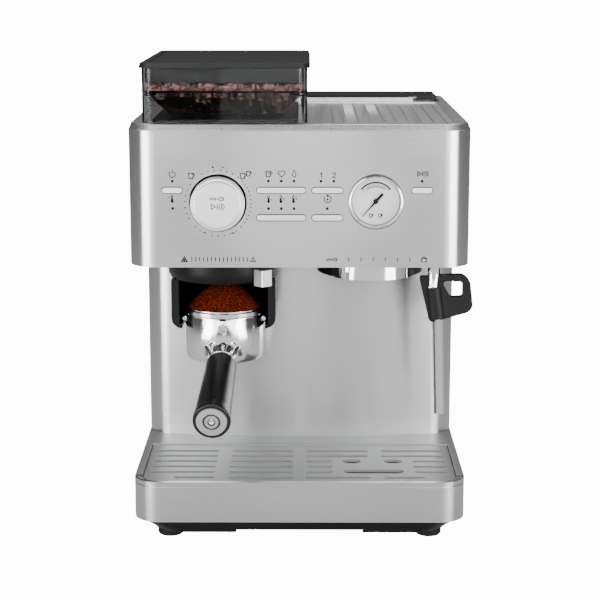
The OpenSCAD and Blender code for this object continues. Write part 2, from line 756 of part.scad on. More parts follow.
// Ring burr: it turns with the grind-size ring and screws nearer to the cone.
module upper_burr() color("#b4b7ba") at_burrs() difference() {
    ring(burr_chamber_r - 3, 0, burr_z + 18, burr_z + 36);
    translate([0, 0, burr_z + 17.9]) cylinder(h = 18.2, r1 = 19.5, r2 = 15);
}

// Ring round the outlet, open below, with a shoulder that narrows downwards.
module grind_ring() color(black) at_outlet() rotate_extrude()
    polygon([[chute_r + 1, ring_top_z], [grind_ring_r, ring_top_z], [grind_ring_r, ring_low_z + 9],
        [grind_ring_r - 0.8, ring_low_z + 4], [grind_ring_r - 2.5, ring_low_z],
        [grind_ring_r - 6, ring_low_z], [grind_ring_r - 6, ring_top_z - 5], [chute_r + 1, ring_top_z - 5]]);

module grind_lever() color(bright) at_outlet() difference() {
    rotate(lever_angle) block([grind_ring_r - 3, -lever_w / 2, ring_low_z - 2.5],
        [grind_ring_r + lever_l, lever_w / 2, ring_low_z + 13.5]);
    ring(grind_ring_r, 0, ring_low_z - 5, ring_top_z);
}

// Fork on the column under the ring: its two lips carry the ears of the filter holder.
module grinder_cradle() color(black) difference() {
    intersection() {
        block([outlet_x - cradle_half_w, cradle_front_y, cradle_low_z],
            [outlet_x + cradle_half_w, column_front_y + 20, ring_low_z - 0.5]);
        standing(cradle_front_y - cut, column_front_y + 21) translate([outlet_x, 0])
            outline(cradle_half_w, cradle_low_z, ring_low_z, 10, 2);
    }
    at_outlet() ring(ear_r + 1, 0, ear_z - gap, head_z);
    at_outlet() ring(cup_r + lip_gap, 0, cradle_low_z - cut, ear_z);
    block([outlet_x - ear_r - 1, cradle_front_y - cut, ear_z - gap], [outlet_x + ear_r + 1, outlet_y, head_z]);
    block([outlet_x - cup_r - lip_gap, cradle_front_y - cut, cradle_low_z - cut],
        [outlet_x + cup_r + lip_gap, outlet_y, ear_z]);
    translate([0, 0, cradle_low_z - cut]) linear_extrude(100)
        bow(column_front_y, shell_rear_y, half_w, bow_r, column_corner_r);
}

// ---- Filter holder -------------------------------------------------------------------

// Runs from the cup towards the user, along the grip's own axis.
module along_handle() translate([outlet_x, outlet_y - neck_from, neck_z])
    rotate([90 + handle_pitch, 0, handle_yaw]) children();

module filter_holder() color(bright) difference() {
    union() {
        at_outlet() rotate_extrude() polygon([[0, cup_low_z], [cup_r - 4, cup_low_z], [cup_r, cup_low_z + 5],
            [cup_r, cup_top_z], [0, cup_top_z]]);
        at_outlet() intersection() {
            ring(ear_r, 0, ear_z, ear_z + ear_h);
            block([-ear_r, -ear_w / 2, ear_z], [ear_r, ear_w / 2, ear_z + ear_h]);
        }
        at_outlet() ring(spout_r, 0, cup_low_z - spout_l, cup_low_z + 1);
        along_handle() cylinder(h = neck_l, r = neck_r);
        along_handle() translate([0, 0, neck_l - ferrule_l]) cylinder(h = ferrule_l, r1 = grip_r - 3, r2 = grip_r);
    }
    at_outlet() ring(cup_bore_r, 0, cup_low_z + 3, cup_top_z + cut);
    at_outlet() ring(3, 0, cup_low_z - spout_l - cut, cup_low_z + 4);
}

module filter_basket() color(bright) at_outlet() rotate_extrude()
    polygon([[0, basket_low_z], [basket_r - 1, basket_low_z], [basket_r, basket_low_z + 1],
        [basket_r, cup_top_z], [basket_rim_r, cup_top_z], [basket_rim_r, cup_top_z + basket_rim_t],
        [basket_r - basket_t, cup_top_z + basket_rim_t], [basket_r - basket_t, basket_low_z + basket_t],
        [0, basket_low_z + basket_t]]);

// The dose fills the basket and heaps up under the chute.
module coffee_grounds() color("#5a2410") at_outlet() {
    steps = 8;
    rim_z = cup_top_z + basket_rim_t;
    heap = [for (i = [0 : steps]) [mound_r * (1 - i / steps), rim_z + mound_h * (1 - pow(1 - i / steps, 1.7))]];
    rotate_extrude() polygon(concat([[0, basket_low_z + basket_t], [basket_r - basket_t,
        basket_low_z + basket_t], [basket_r - basket_t, rim_z]], heap));
}

module holder_handle() color(black) along_handle() translate([0, 0, neck_l]) rotate_extrude()
    polygon([[0, 0], [grip_r, 0], [grip_r + 0.3, 12], [grip_r + 0.8, grip_l * 0.5], [grip_r + 2, grip_l - 8],
        [grip_r + 2.6, grip_l - 5], [grip_r + 2.6, grip_l - 1], [grip_r + 1.6, grip_l], [0, grip_l]]);

module handle_cap() color(bright) along_handle() translate([0, 0, neck_l + grip_l]) rotate_extrude()
    polygon([[0, 0], [grip_r + 0.7, 0], [grip_r + 0.7, 0.8], [grip_r, 1.5], [7.5, 1.5], [7, 0.9], [6.3, 0.9],
        [5.8, 1.5], [2.6, 1.5], [2.4, 0.8], [0, 0.8]]);

// ---- Brewing group -------------------------------------------------------------------

module at_group() translate([group_x, group_y, 0]) children();

// The bore takes the rim of the filter holder, and two slots let its ears in.
module group_ring() color(bright) at_group() difference() {
    union() {
        ring(group_ring_r, group_bore_r, group_low_z, head_z);
        ring(group_ring_r, screen_r + 0.7, group_web_z, head_z);
    }
    ring(groove_r, 0, groove_z, group_web_z);
    for (turn = [45, 225]) rotate(turn) block([group_bore_r - 2, -ear_w / 2 - gap, group_low_z - cut],
        [ear_r + gap, ear_w / 2 + gap, group_low_z + ear_h + gap]);
}

module group_gasket() color("#7a2f22") at_group() ring(groove_r, screen_r + 0.7, group_web_z - gasket_t,
    group_web_z);

module shower_screen() color(bright) at_group() {
    ring(screen_r, 0, group_web_z - 3, group_web_z - 1.5);
    ring(4, 0, group_web_z - 1.5, head_z);
}

// Group block over the ring, joined to the heating coil behind it.
module boiler() color("#a9acb0") {
    at_group() ring(group_block_r, 0, head_z, head_z + 35);
    translate([coil_x, coil_y, 0]) ring(coil_r, 0, head_z + 5, head_z + 73);
    block([group_x, group_y + 20, head_z + 9], [group_x + 24, coil_y - 20, head_z + 29]);
}

module water_pump() color("#55585c") translate([pump_x, pump_y0, pump_z]) rotate([-90, 0, 0]) {
    ring(pump_r, 0, 0, pump_y1 - pump_y0 - 10);
    ring(pump_r * 0.6, 0, pump_y1 - pump_y0 - 10, pump_y1 - pump_y0);
}

// Tank to pump, pump to coil, and coil to steam wand.
module water_lines() color("#d8d2bd") {
    valve_y = tank_front_y + 30;
    riser_y = pump_y1 - 18;
    pipe([[valve_x, valve_y, bay_floor_z - 1], [valve_x, valve_y, pump_z], [pump_x, valve_y, pump_z],
        [pump_x, pump_y1, pump_z]], line_r, fitting_r);
    difference() {
        pipe([[pump_x, riser_y, pump_z], [pump_x, riser_y, head_z + 45], [coil_x, riser_y, head_z + 45],
            [coil_x, coil_y, head_z + 45]], line_r, fitting_r);
        translate([pump_x, pump_y0, pump_z]) rotate([-90, 0, 0]) ring(pump_r, 0, 0, 200);
        translate([coil_x, coil_y, 0]) ring(coil_r, 0, head_z, head_z + 80);
    }
    pipe([[coil_x, coil_y, head_z + 73], [coil_x, coil_y, head_z + 84], [wand_x, coil_y, head_z + 84],
        [wand_x, wand_y, head_z + 84], [wand_x, wand_y, head_z + socket_h + 3]], line_r, fitting_r);
}

// ---- Steam wand ----------------------------------------------------------------------

module at_ball() translate([wand_x, wand_y, wand_z]) children();

// Gimbal ring: its two pins turn in the socket, and the ball's two pins turn in its bores.
module wand_yoke() color(grey) at_ball() {
    difference() {
        ring(yoke_r, ball_r + gap, -yoke_h / 2, yoke_h / 2);
        rotate([0, 90, 0]) ring(gimbal_pin_r + shaft_gap, 0, -yoke_r - cut, yoke_r + cut);
    }
    for (side = [0, 180]) rotate([90, 0, side]) ring(gimbal_pin_r, 0, ball_r + 1.5, socket_r + 2.5);
}

module wand_tube() color(bright) {
    ball = [wand_x, wand_y, wand_z];
    translate(ball) sphere(ball_r);
    translate(ball) rotate([0, 90, 0]) ring(gimbal_pin_r, 0, 0.4 - yoke_r, yoke_r - 0.4);
    sleeve(ball, wand_bend, wand_upper_r);
    translate(wand_bend) sphere(bend_r);
    sleeve(wand_bend, wand_knee, wand_lower_r);
    translate(wand_knee) sphere(knee_r);
    sleeve(wand_knee, wand_tip, wand_lower_r);
}

// A round bar from one point to another, with an optional overrun at both ends.
module sleeve(from, to, r, over = 0) {
    run = to - from;
    translate(from) rotate([0, acos(run[2] / norm(run)), atan2(run[1], run[0])]) translate([0, 0, -over])
        cylinder(h = norm(run) + 2 * over, r = r);
}

// Rubber sleeve with a thumb loop on its right.
module wand_grip() color(black) difference() {
    union() {
        standing(wand_y - 5, wand_y + 5) difference() {
            grip_outline();
            grip_hole();
        }
        sleeve(wand_bend, wand_knee, wand_lower_r + 3.4);
    }
    sleeve(wand_bend, wand_knee, wand_lower_r, 3);
    translate(wand_bend) sphere(bend_r + 0.1);
    sleeve([wand_x, wand_y, wand_z], wand_bend, wand_upper_r + 0.2);
    translate(wand_knee) sphere(knee_r + 0.1);
    sleeve(wand_knee, wand_tip, wand_lower_r + 0.2);
}

module grip_outline() hull() {
    translate([wand_bend[0] - 9.5, wand_bend[2] + 7]) circle(3, $fn = 32);
    translate([wand_bend[0] + 24, wand_bend[2] + 1]) circle(11, $fn = 32);
    translate([wand_bend[0] + 28, wand_bend[2] - 16]) circle(9, $fn = 32);
    translate([wand_knee[0] - 4.5, wand_knee[2] + 1]) circle(4, $fn = 32);
}

module grip_hole() hull() {
    translate([wand_bend[0] + 12.5, wand_bend[2] + 3]) circle(3, $fn = 32);
    translate([wand_bend[0] + 23.5, wand_bend[2] + 1.5]) circle(4, $fn = 32);
    translate([wand_bend[0] + 25.5, wand_bend[2] - 7]) circle(2, $fn = 32);
    translate([wand_bend[0] + 17.5, wand_bend[2] - 7]) circle(2.5, $fn = 32);
}

// ---- Hopper --------------------------------------------------------------------------

module at_hopper() translate([hopper_x, 0, 0]) children();

// Hopper-shaped pyramid between two rectangles, grown by a margin.
module funnel(margin, z0, z1) translate([0, hopper_cy, 0]) hull() {
    half = [hopper_half_w - hopper_t, hopper_d / 2 - hopper_t];
    translate([0, 0, z0]) linear_extrude(0.1) square(2 * (funnel_half + [margin, margin]), center = true);
    translate([0, 0, z1 - 0.1]) linear_extrude(0.1) square(2 * (half + [margin, margin] - [4, 4]), center = true);
}

module hopper_body() color([0.9, 0.94, 0.96, 0.35]) difference() {
    union() {
        at_hopper() difference() {
            slab(top_z, hopper_top_z, hopper_half_w, hopper_y0, hopper_y1, hopper_corner_r, hopper_corner_r);
            slab(top_z - cut, hopper_top_z + cut, hopper_half_w - hopper_t, hopper_y0 + hopper_t,
                hopper_y1 - hopper_t, hopper_corner_r - hopper_t, hopper_corner_r - hopper_t);
        }
        at_hopper() slab(funnel_top_z - floor_t, funnel_top_z, hopper_half_w - 1, hopper_y0 + 1, hopper_y1 - 1,
            hopper_corner_r - 1, hopper_corner_r - 1);
        at_hopper() funnel(floor_t, funnel_low_z - floor_t, funnel_top_z);
        at_burrs() ring(throat_r - 0.6, 0, top_z - 16, funnel_low_z);
    }
    at_hopper() funnel(0, funnel_low_z, funnel_top_z + 0.2);
    at_burrs() ring(throat_r - 3, 0, top_z - 17, funnel_low_z + cut);
}

module hopper_gasket() color(black) at_hopper() difference() {
    slab(funnel_top_z, funnel_top_z + 2, hopper_half_w - hopper_t, hopper_y0 + hopper_t, hopper_y1 - hopper_t,
        hopper_corner_r - hopper_t, hopper_corner_r - hopper_t);
    slab(funnel_top_z - cut, funnel_top_z + 3, hopper_half_w - hopper_t - 2, hopper_y0 + hopper_t + 2,
        hopper_y1 - hopper_t - 2, hopper_corner_r - hopper_t - 2, hopper_corner_r - hopper_t - 2);
}

module coffee_beans() color("#4a2c22") at_hopper() {
    funnel(-0.4, funnel_low_z + 0.3, funnel_top_z);
    slab(funnel_top_z, beans_top_z, hopper_half_w - hopper_t - 2.5, hopper_y0 + hopper_t + 2.5,
        hopper_y1 - hopper_t - 2.5, 4, 4);
}

module hopper_lid() color("#2f3134") at_hopper() {
    lid_y0 = hopper_y0 - lid_over;
    lid_y1 = hopper_y1 + lid_over;
    difference() {
        bevelled_slab(hopper_top_z, lid_h, hopper_half_w + lid_over, lid_y0, lid_y1, 10, 10, 1.2);
        slab(hopper_top_z + lid_h - 1, hopper_top_z + lid_h + cut, hopper_half_w - 5, lid_y0 + 7.5, lid_y1 - 7.5,
            4, 4);
    }
    difference() {
        slab(lid_skirt_z, hopper_top_z, hopper_half_w - hopper_t - gap, hopper_y0 + hopper_t + gap,
            hopper_y1 - hopper_t - gap, hopper_corner_r - hopper_t, hopper_corner_r - hopper_t);
        slab(lid_skirt_z - cut, hopper_top_z, hopper_half_w - hopper_t - 2.3, hopper_y0 + hopper_t + 2.3,
            hopper_y1 - hopper_t - 2.3, hopper_corner_r - hopper_t - 2, hopper_corner_r - hopper_t - 2);
    }
}

// ---- Water tank ----------------------------------------------------------------------

module water_tank() color([0.55, 0.6, 0.65, 0.5]) {
    difference() {
        slab(tank_low_z, top_z, tank_half_w, tank_front_y, tank_rear_y, tank_corner_r, tank_corner_r);
        slab(tank_low_z + tank_t, top_z - tank_deck_t, tank_half_w - tank_t, tank_front_y + tank_t,
            tank_rear_y - tank_t, tank_corner_r - tank_t, tank_corner_r - tank_t);
        block([-tank_half_w + tank_t, tank_front_y + tank_deck_d, top_z - tank_deck_t - cut],
            [tank_half_w - tank_t, tank_rear_y - tank_t, top_z + cut]);
        block([-bail_half_w - 2, tank_front_y + 2.5, top_z - tank_deck_t + 2.5],
            [bail_half_w + 2, tank_front_y + tank_deck_d - 2.5, top_z + cut]);
    }
    translate([valve_x, tank_front_y + 30, 0]) ring(valve_r, 0, bay_floor_z + 1, tank_low_z + cut);
    for (side = [-1, 1]) {
        pin_lug(side * (bail_half_w + 4.5), bail_y, bail_z, 1.5 + shaft_gap);
        pin_lug(side * (tank_half_w - 7), hinge_y, hinge_z, 1.2 + shaft_gap);
    }
}

// An ear on top of the tank with a bore along X.
module pin_lug(x, y, z, r) difference() {
    block([x - 2, y - 2, top_z - 1], [x + 2, y + 2, z + 2]);
    translate([x - 3, y, z]) rotate([0, 90, 0]) cylinder(h = 6, r = r);
}

// Flap over the tank: pins at its rear edge turn in the lugs.
module tank_lid() color("#3a3b3e") {
    lid_half = tank_half_w - 9.5;
    difference() {
        block([-tank_half_w + 0.5, tank_front_y + tank_deck_d + 0.5, hinge_z - 2], [tank_half_w - 0.5, hinge_y,
            hinge_z + 2]);
        for (side = [-1, 1]) block([side * (tank_half_w - 7) - 2.6, hinge_y - 5, hinge_z - 3],
            [side * (tank_half_w - 7) + 2.6, hinge_y + 5, hinge_z + 3]);
    }
    translate([-lid_half, hinge_y, hinge_z]) rotate([0, 90, 0]) cylinder(h = 2 * lid_half, r = 2);
    translate([-tank_half_w + 5.2, hinge_y, hinge_z]) rotate([0, 90, 0]) cylinder(h = 2 * tank_half_w - 10.4,
        r = 1.2);
}

// Carrying bail that lies flat over its recess.
module tank_handle() color(bright) {
    reach = bail_y - tank_front_y - 3.5;
    for (side = [-1, 1]) {
        x = side * bail_half_w;
        block([x - 2, bail_y - reach, bail_z - bail_t / 2], [x + 2, bail_y, bail_z + bail_t / 2]);
        translate([x - 2, bail_y, bail_z]) rotate([0, 90, 0]) cylinder(h = 4, r = bail_t / 2);
        translate([x - 2 + min(side, 0) * 4, bail_y, bail_z]) rotate([0, 90, 0]) cylinder(h = 8, r = 1.5);
    }
    block([-bail_half_w - 2, bail_y - reach - 3.5, bail_z - bail_t / 2], [bail_half_w + 2, bail_y - reach + 1.5,
        bail_z + bail_t / 2]);
}

base_pan();
feet();
base_housing();
column_shell();
head_shell();
head_underside();
top_frame();
cup_tray();
rear_panel();
panel_screws();
group_flange();
grinder_cradle();
grinder_housing();
grinder_motor();
hopper_seat();
group_ring();
group_gasket();
shower_screen();
boiler();
water_pump();
water_lines();
control_board();
dial_recess();
gauge_case();
gauge_face();
gauge_lens();
status_lights();
cord_gland();
dial_shaft();
dial_knob();
power_button();
drink_button();
temperature_button();
shots_button();
clean_button();
steam_button();
gauge_needle();
grind_ring();
grind_lever();
upper_burr();
lower_burr();
hopper_body();
hopper_gasket();
coffee_beans();
hopper_lid();
water_tank();
tank_lid();
tank_handle();
tray_tub();
tray_front();
tray_grate();
tray_float();
filter_holder();
filter_basket();
coffee_grounds();
holder_handle();
handle_cap();
wand_yoke();
wand_tube();
wand_grip();
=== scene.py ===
"""Espresso machine with a built-in grinder: finishes and fine pieces over its frame."""

import json
import math
import random

import bmesh
import bpy
from mathutils import Matrix, Vector


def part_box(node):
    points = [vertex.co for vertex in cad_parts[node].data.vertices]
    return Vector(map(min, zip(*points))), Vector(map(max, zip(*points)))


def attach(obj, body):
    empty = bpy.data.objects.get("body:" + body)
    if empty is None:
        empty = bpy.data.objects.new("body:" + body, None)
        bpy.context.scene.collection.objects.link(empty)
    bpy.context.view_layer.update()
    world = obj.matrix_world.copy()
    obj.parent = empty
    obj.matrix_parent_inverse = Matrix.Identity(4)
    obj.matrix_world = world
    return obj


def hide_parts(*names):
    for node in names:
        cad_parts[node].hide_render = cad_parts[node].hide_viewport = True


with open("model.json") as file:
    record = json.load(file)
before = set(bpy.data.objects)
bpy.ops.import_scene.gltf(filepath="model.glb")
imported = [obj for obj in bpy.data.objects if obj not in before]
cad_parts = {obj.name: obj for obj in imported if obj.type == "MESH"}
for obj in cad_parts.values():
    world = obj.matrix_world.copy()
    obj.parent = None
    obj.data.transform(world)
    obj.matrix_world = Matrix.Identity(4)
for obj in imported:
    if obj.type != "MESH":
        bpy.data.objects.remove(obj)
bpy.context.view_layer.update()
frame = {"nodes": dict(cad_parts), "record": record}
nodes = frame["nodes"]
MM = 0.001
PALE = 13.0  # how bright the floor and the air look to the camera

# ---- Places taken from the frame -------------------------------------------------------


def low(name):
    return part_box(name)[0]


def high(name):
    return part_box(name)[1]


def middle(name):
    return (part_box(name)[0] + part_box(name)[1]) / 2


head_front = low("head_shell").y
head_low = low("head_shell").z
dial_at = middle("dial_recess")
gauge_at = middle("gauge_face")
outlet_x = middle("filter_basket").x
outlet_y = middle("filter_basket").y

# ---- Studio ----------------------------------------------------------------------------


def place_camera():
    data = bpy.data.cameras.new("studio_camera")
    data.sensor_width = 36
    data.lens = 99.8
    data.clip_end = 100
    camera = bpy.data.objects.new("studio_camera", data)
    camera.location = (0.0077, -1.622, 0.520)
    camera.rotation_euler = (math.radians(90 - 11.37), 0, math.radians(0.28))
    bpy.context.scene.collection.objects.link(camera)
    bpy.context.scene.camera = camera


def softbox(name, place, aim, width, height, watts, colour=(1, 1, 1)):
    data = bpy.data.lights.new(name, "AREA")
    data.shape = "RECTANGLE"
    data.size = width
    data.size_y = height
    data.energy = watts
    data.color = colour
    lamp = bpy.data.objects.new(name, data)
    lamp.location = place
    lamp.visible_camera = False
    lamp.rotation_euler = (Vector(aim) - Vector(place)).to_track_quat("-Z", "Z").to_euler()
    bpy.context.scene.collection.objects.link(lamp)


def light_studio():
    world = bpy.data.worlds.new("studio_air")
    bpy.context.scene.world = world
    world.use_nodes = True
    tree = world.node_tree
    sky = tree.nodes["Background"]
    sky.inputs["Color"].default_value = (1, 1, 1, 1)
    sight = tree.nodes.new("ShaderNodeLightPath")
    haze = tree.nodes.new("ShaderNodeMapRange")
    haze.inputs["To Min"].default_value = 0.1
    haze.inputs["To Max"].default_value = PALE
    tree.links.new(sight.outputs["Is Camera Ray"], haze.inputs["Value"])
    tree.links.new(haze.outputs["Result"], sky.inputs["Strength"])
    aim = (0, 0, 0.22)
    softbox("top_box", (0, 0.5, 1.9), (0, 0.0, 0.2), 1.8, 1.0, 26)
    softbox("left_box", (-1.15, -1.75, 0.62), aim, 2.1, 1.24, 40)
    softbox("right_box", (1.15, -1.75, 0.62), aim, 2.1, 1.24, 40)
    softbox("front_box", (0.0, -3.2, 0.9), aim, 0.5, 1.8, 7)
    softbox("left_low", (-0.85, -0.75, 0.1), (0, -0.1, 0.15), 0.9, 0.4, 9)
    softbox("right_low", (0.85, -0.75, 0.1), (0, -0.1, 0.15), 0.9, 0.4, 9)


def lay_floor():
    data = bpy.data.meshes.new("floor")
    data.from_pydata([(-40, -20, 0), (40, -20, 0), (40, 60, 0), (-40, 60, 0)], [], [(0, 1, 2, 3)])
    floor = bpy.data.objects.new("floor", data)
    bpy.context.scene.collection.objects.link(floor)
    paper = bpy.data.materials.new("studio_paper")
    paper.use_nodes = True
    shader = paper.node_tree.nodes["Principled BSDF"]
    shader.inputs["Base Color"].default_value = (0.4, 0.4, 0.4, 1)
    shader.inputs["Roughness"].default_value = 0.9
    shader.inputs["Specular IOR Level"].default_value = 0.1
    shader.inputs["Emission Color"].default_value = (1, 1, 1, 1)
    sight = paper.node_tree.nodes.new("ShaderNodeLightPath")
    glow = paper.node_tree.nodes.new("ShaderNodeMapRange")
    glow.inputs["To Min"].default_value = 0.15
    glow.inputs["To Max"].default_value = PALE
    paper.node_tree.links.new(sight.outputs["Is Camera Ray"], glow.inputs["Value"])
    paper.node_tree.links.new(glow.outputs["Result"], shader.inputs["Emission Strength"])
    data.materials.append(paper)


place_camera()
light_studio()
lay_floor()

# ---- Finishes --------------------------------------------------------------------------


class Finish:
    """A node material: one shader, with grain, wear and colour built on object coordinates."""

    def __init__(self, name, colour, metal=0.0, rough=0.4, **sockets):
        self.material = bpy.data.materials.new(name)
        self.material.use_nodes = True
        self.tree = self.material.node_tree
        self.shader = self.tree.nodes["Principled BSDF"]
        self.colour = colour
        self.set("Base Color", (*colour, 1))
        self.set("Metallic", metal)
        self.set("Roughness", rough)
        for socket, value in sockets.items():
            self.set(socket.replace("_", " "), value)
        self.coords = self.node("ShaderNodeTexCoord").outputs["Object"]
        self.relief = None

    def node(self, kind, **values):
        made = self.tree.nodes.new(kind)
        for key, value in values.items():
            setattr(made, key, value)
        return made

    def set(self, socket, value):
        self.shader.inputs[socket].default_value = value

    def link(self, out, into):
        self.tree.links.new(out, into)

    def stretched(self, scale, turn=(0, 0, 0)):
        place = self.node("ShaderNodeMapping")
        place.inputs["Scale"].default_value = scale
        place.inputs["Rotation"].default_value = turn
        self.link(self.coords, place.inputs["Vector"])
        return place.outputs[0]

    def noise(self, scale, detail=3.0, stretch=(1, 1, 1), warp=0.0):
        made = self.node("ShaderNodeTexNoise")
        made.inputs["Scale"].default_value = scale
        made.inputs["Detail"].default_value = detail
        made.inputs["Distortion"].default_value = warp
        self.link(self.stretched(stretch), made.inputs["Vector"])
        return made.outputs["Fac"]

    def spread(self, value, low_in, high_in, low_out, high_out):
        made = self.node("ShaderNodeMapRange")
        for socket, number in zip(("From Min", "From Max", "To Min", "To Max"),
                                  (low_in, high_in, low_out, high_out)):
            made.inputs[socket].default_value = number
        self.link(value, made.inputs["Value"])
        return made.outputs["Result"]

    def vary_rough(self, value, low_rough, high_rough):
        self.link(self.spread(value, 0.3, 0.7, low_rough, high_rough), self.shader.inputs["Roughness"])

    def vary_colour(self, value, dark, light, low_in=0.3, high_in=0.7):
        ramp = self.node("ShaderNodeValToRGB")
        ramp.color_ramp.elements[0].position = low_in
        ramp.color_ramp.elements[0].color = (*dark, 1)
        ramp.color_ramp.elements[1].position = high_in
        ramp.color_ramp.elements[1].color = (*light, 1)
        self.link(value, ramp.inputs[0])
        self.link(ramp.outputs[0], self.shader.inputs["Base Color"])
        return ramp

    def bump(self, value, height_mm, strength=1.0):
        made = self.node("ShaderNodeBump")
        made.inputs["Distance"].default_value = height_mm * MM
        made.inputs["Strength"].default_value = strength
        self.link(value, made.inputs["Height"])
        if self.relief:
            self.link(self.relief, made.inputs["Normal"])
        self.relief = made.outputs["Normal"]
        self.link(self.relief, self.shader.inputs["Normal"])


def shaded(colour, factor):
    return tuple(min(1.0, c * factor) for c in colour)


def brushed(name, colour, rough, stretch, depth=0.0006, grain=0.9):
    """Steel with fine parallel scratches: long in two directions, close in the third."""
    finish = Finish(name, colour, metal=1.0, rough=rough, Anisotropic=grain, Anisotropic_Rotation=0.25)
    lie = finish.node("ShaderNodeTangent", direction_type="RADIAL", axis="Z")
    finish.link(lie.outputs[0], finish.shader.inputs["Tangent"])
    fine = finish.noise(60, 4, stretch)
    finish.vary_colour(fine, shaded(colour, 0.97), shaded(colour, 1.03))
    finish.vary_rough(fine, rough - 0.02, rough + 0.02)
    finish.bump(fine, depth)
    return finish.material


def polished(name, colour, rough):
    finish = Finish(name, colour, metal=1.0, rough=rough)
    finish.vary_rough(finish.noise(40, 3), rough * 0.7, rough * 1.5)
    finish.bump(finish.noise(25, 2), 0.004)
    return finish.material


def satin_metal(name, colour, rough, grain=900, depth=0.006):
    finish = Finish(name, colour, metal=1.0, rough=rough)
    fine = finish.noise(grain, 2)
    finish.vary_colour(finish.noise(12, 2), shaded(colour, 0.96), shaded(colour, 1.03))
    finish.vary_rough(fine, rough - 0.05, rough + 0.05)
    finish.bump(fine, depth)
    return finish.material


def moulded(name, colour, rough, grain=1400, depth=0.012, **sockets):
    """Plastic or rubber with a fine spark-eroded grain and faint wear."""
    finish = Finish(name, colour, rough=rough, **sockets)
    finish.vary_colour(finish.noise(18, 3), shaded(colour, 0.85), shaded(colour, 1.15))
    finish.vary_rough(finish.noise(grain, 2), rough - 0.06, rough + 0.06)
    finish.bump(finish.noise(grain, 2), depth)
    return finish.material


def clear(name, colour, rough, ior=1.45, weight=1.0):
    finish = Finish(name, colour, rough=rough, Transmission_Weight=weight, IOR=ior)
    finish.vary_rough(finish.noise(30, 2), rough * 0.5, rough * 1.6)
    return finish.material


def roasted(name):
    finish = Finish(name, (0.11, 0.045, 0.03), rough=0.42, Coat_Weight=0.15, Coat_Roughness=0.3)
    finish.vary_colour(finish.noise(160, 3), (0.08, 0.034, 0.028), (0.26, 0.12, 0.1))
    finish.vary_rough(finish.noise(300, 2), 0.34, 0.55)
    finish.bump(finish.noise(900, 2), 0.05)
    return finish.material


def ground(name):
    finish = Finish(name, (0.3, 0.075, 0.02), rough=0.9, Specular_IOR_Level=0.08)
    grain = finish.noise(900, 4)
    finish.vary_colour(grain, (0.006, 0.0006, 0.0002), (0.34, 0.034, 0.003), 0.45, 0.78)
    finish.bump(grain, 0.35)
    return finish.material


steel = (0.66, 0.665, 0.67)
finishes = {
    "brushed_steel": brushed("brushed_steel", steel, 0.24, (0.02, 0.02, 14)),
    "cast_silver": satin_metal("cast_silver", (0.84, 0.845, 0.85), 0.3),
    "satin_silver": satin_metal("satin_silver", (0.95, 0.95, 0.95), 0.42),
    "chrome": polished("chrome", (0.86, 0.865, 0.87), 0.07),
    "black_plastic": moulded("black_plastic", (0.003, 0.003, 0.0032), 0.34, Specular_IOR_Level=0.25),
    "dark_grey_plastic": moulded("dark_grey_plastic", (0.009, 0.0092, 0.0096), 0.4, Specular_IOR_Level=0.3),
    "rubber": moulded("rubber", (0.003, 0.003, 0.0033), 0.5, 900, 0.02, Specular_IOR_Level=0.25),
    "clear_plastic": clear("clear_plastic", (0.97, 0.98, 0.98), 0.02, 1.18),
    "smoked_plastic": clear("smoked_plastic", (0.5, 0.53, 0.56), 0.06),
    "seal_rubber": moulded("seal_rubber", (0.3, 0.06, 0.035), 0.6),
    "casting": satin_metal("casting", (0.55, 0.56, 0.57), 0.5, 500, 0.04),
    "motor_paint": moulded("motor_paint", (0.12, 0.125, 0.13), 0.45, 700, 0.02),
    "burr_steel": brushed("burr_steel", (0.6, 0.61, 0.62), 0.28, (1, 1, 8)),
    "hose": moulded("hose", (0.7, 0.66, 0.55), 0.45),
    "circuit_board": moulded("circuit_board", (0.03, 0.15, 0.06), 0.4),
    "dial_white": moulded("dial_white", (0.8, 0.8, 0.79), 0.5, 1200, 0.006),
    "dark_lens": moulded("dark_lens", (0.012, 0.012, 0.013), 0.2),
    "needle_black": moulded("needle_black", (0.003, 0.003, 0.0031), 0.5, Specular_IOR_Level=0.1),
    "float_red": moulded("float_red", (0.45, 0.04, 0.025), 0.45),
    "roasted_beans": roasted("roasted_beans"),
    "ground_coffee": ground("ground_coffee"),
    "cast_chrome": polished("cast_chrome", (0.88, 0.885, 0.89), 0.12),
    "grip_gloss": moulded("grip_gloss", (0.003, 0.003, 0.0033), 0.3, 8, 0.0),
    "spun_cap": polished("spun_cap", (0.85, 0.855, 0.86), 0.2),
}
deck_steel = satin_metal("deck_steel", (0.42, 0.425, 0.43), 0.5, 500, 0.0004)
slot_of = {row["node"]: row["material_slot"] for row in frame["record"]["subparts"]}
on_deck = ("base_housing", "tray_grate", "cup_tray")


def finish_nodes():
    for name, obj in nodes.items():
        obj.data.materials.clear()
        obj.data.materials.append(deck_steel if name in on_deck else finishes[slot_of[name]])


finish_nodes()

# ---- Making pieces ---------------------------------------------------------------------

home = {node: body for body, members in frame["record"]["behaviour"]["bodies"].items()
        for node in members}


def piece(name, mesh, body, slot, replaces=(), material=None):
    """Places a finished mesh as one piece: it rides on its body and takes the finish of its slot, unless a
    material is given.
    """
    obj = bpy.data.objects.new(name, mesh)
    bpy.context.scene.collection.objects.link(obj)
    mesh.materials.clear()
    mesh.materials.append(material or finishes[slot])
    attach(obj, body)
    if replaces:
        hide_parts(*replaces)
    return obj


def soften(mesh, angle):
    for face in mesh.polygons:
        face.use_smooth = True
    mesh.set_sharp_from_angle(angle=math.radians(angle))


def from_bmesh(name, bm, angle=40):
    bmesh.ops.recalc_face_normals(bm, faces=bm.faces)
    mesh = bpy.data.meshes.new(name)
    bm.to_mesh(mesh)
    bm.free()
    soften(mesh, angle)
    return mesh


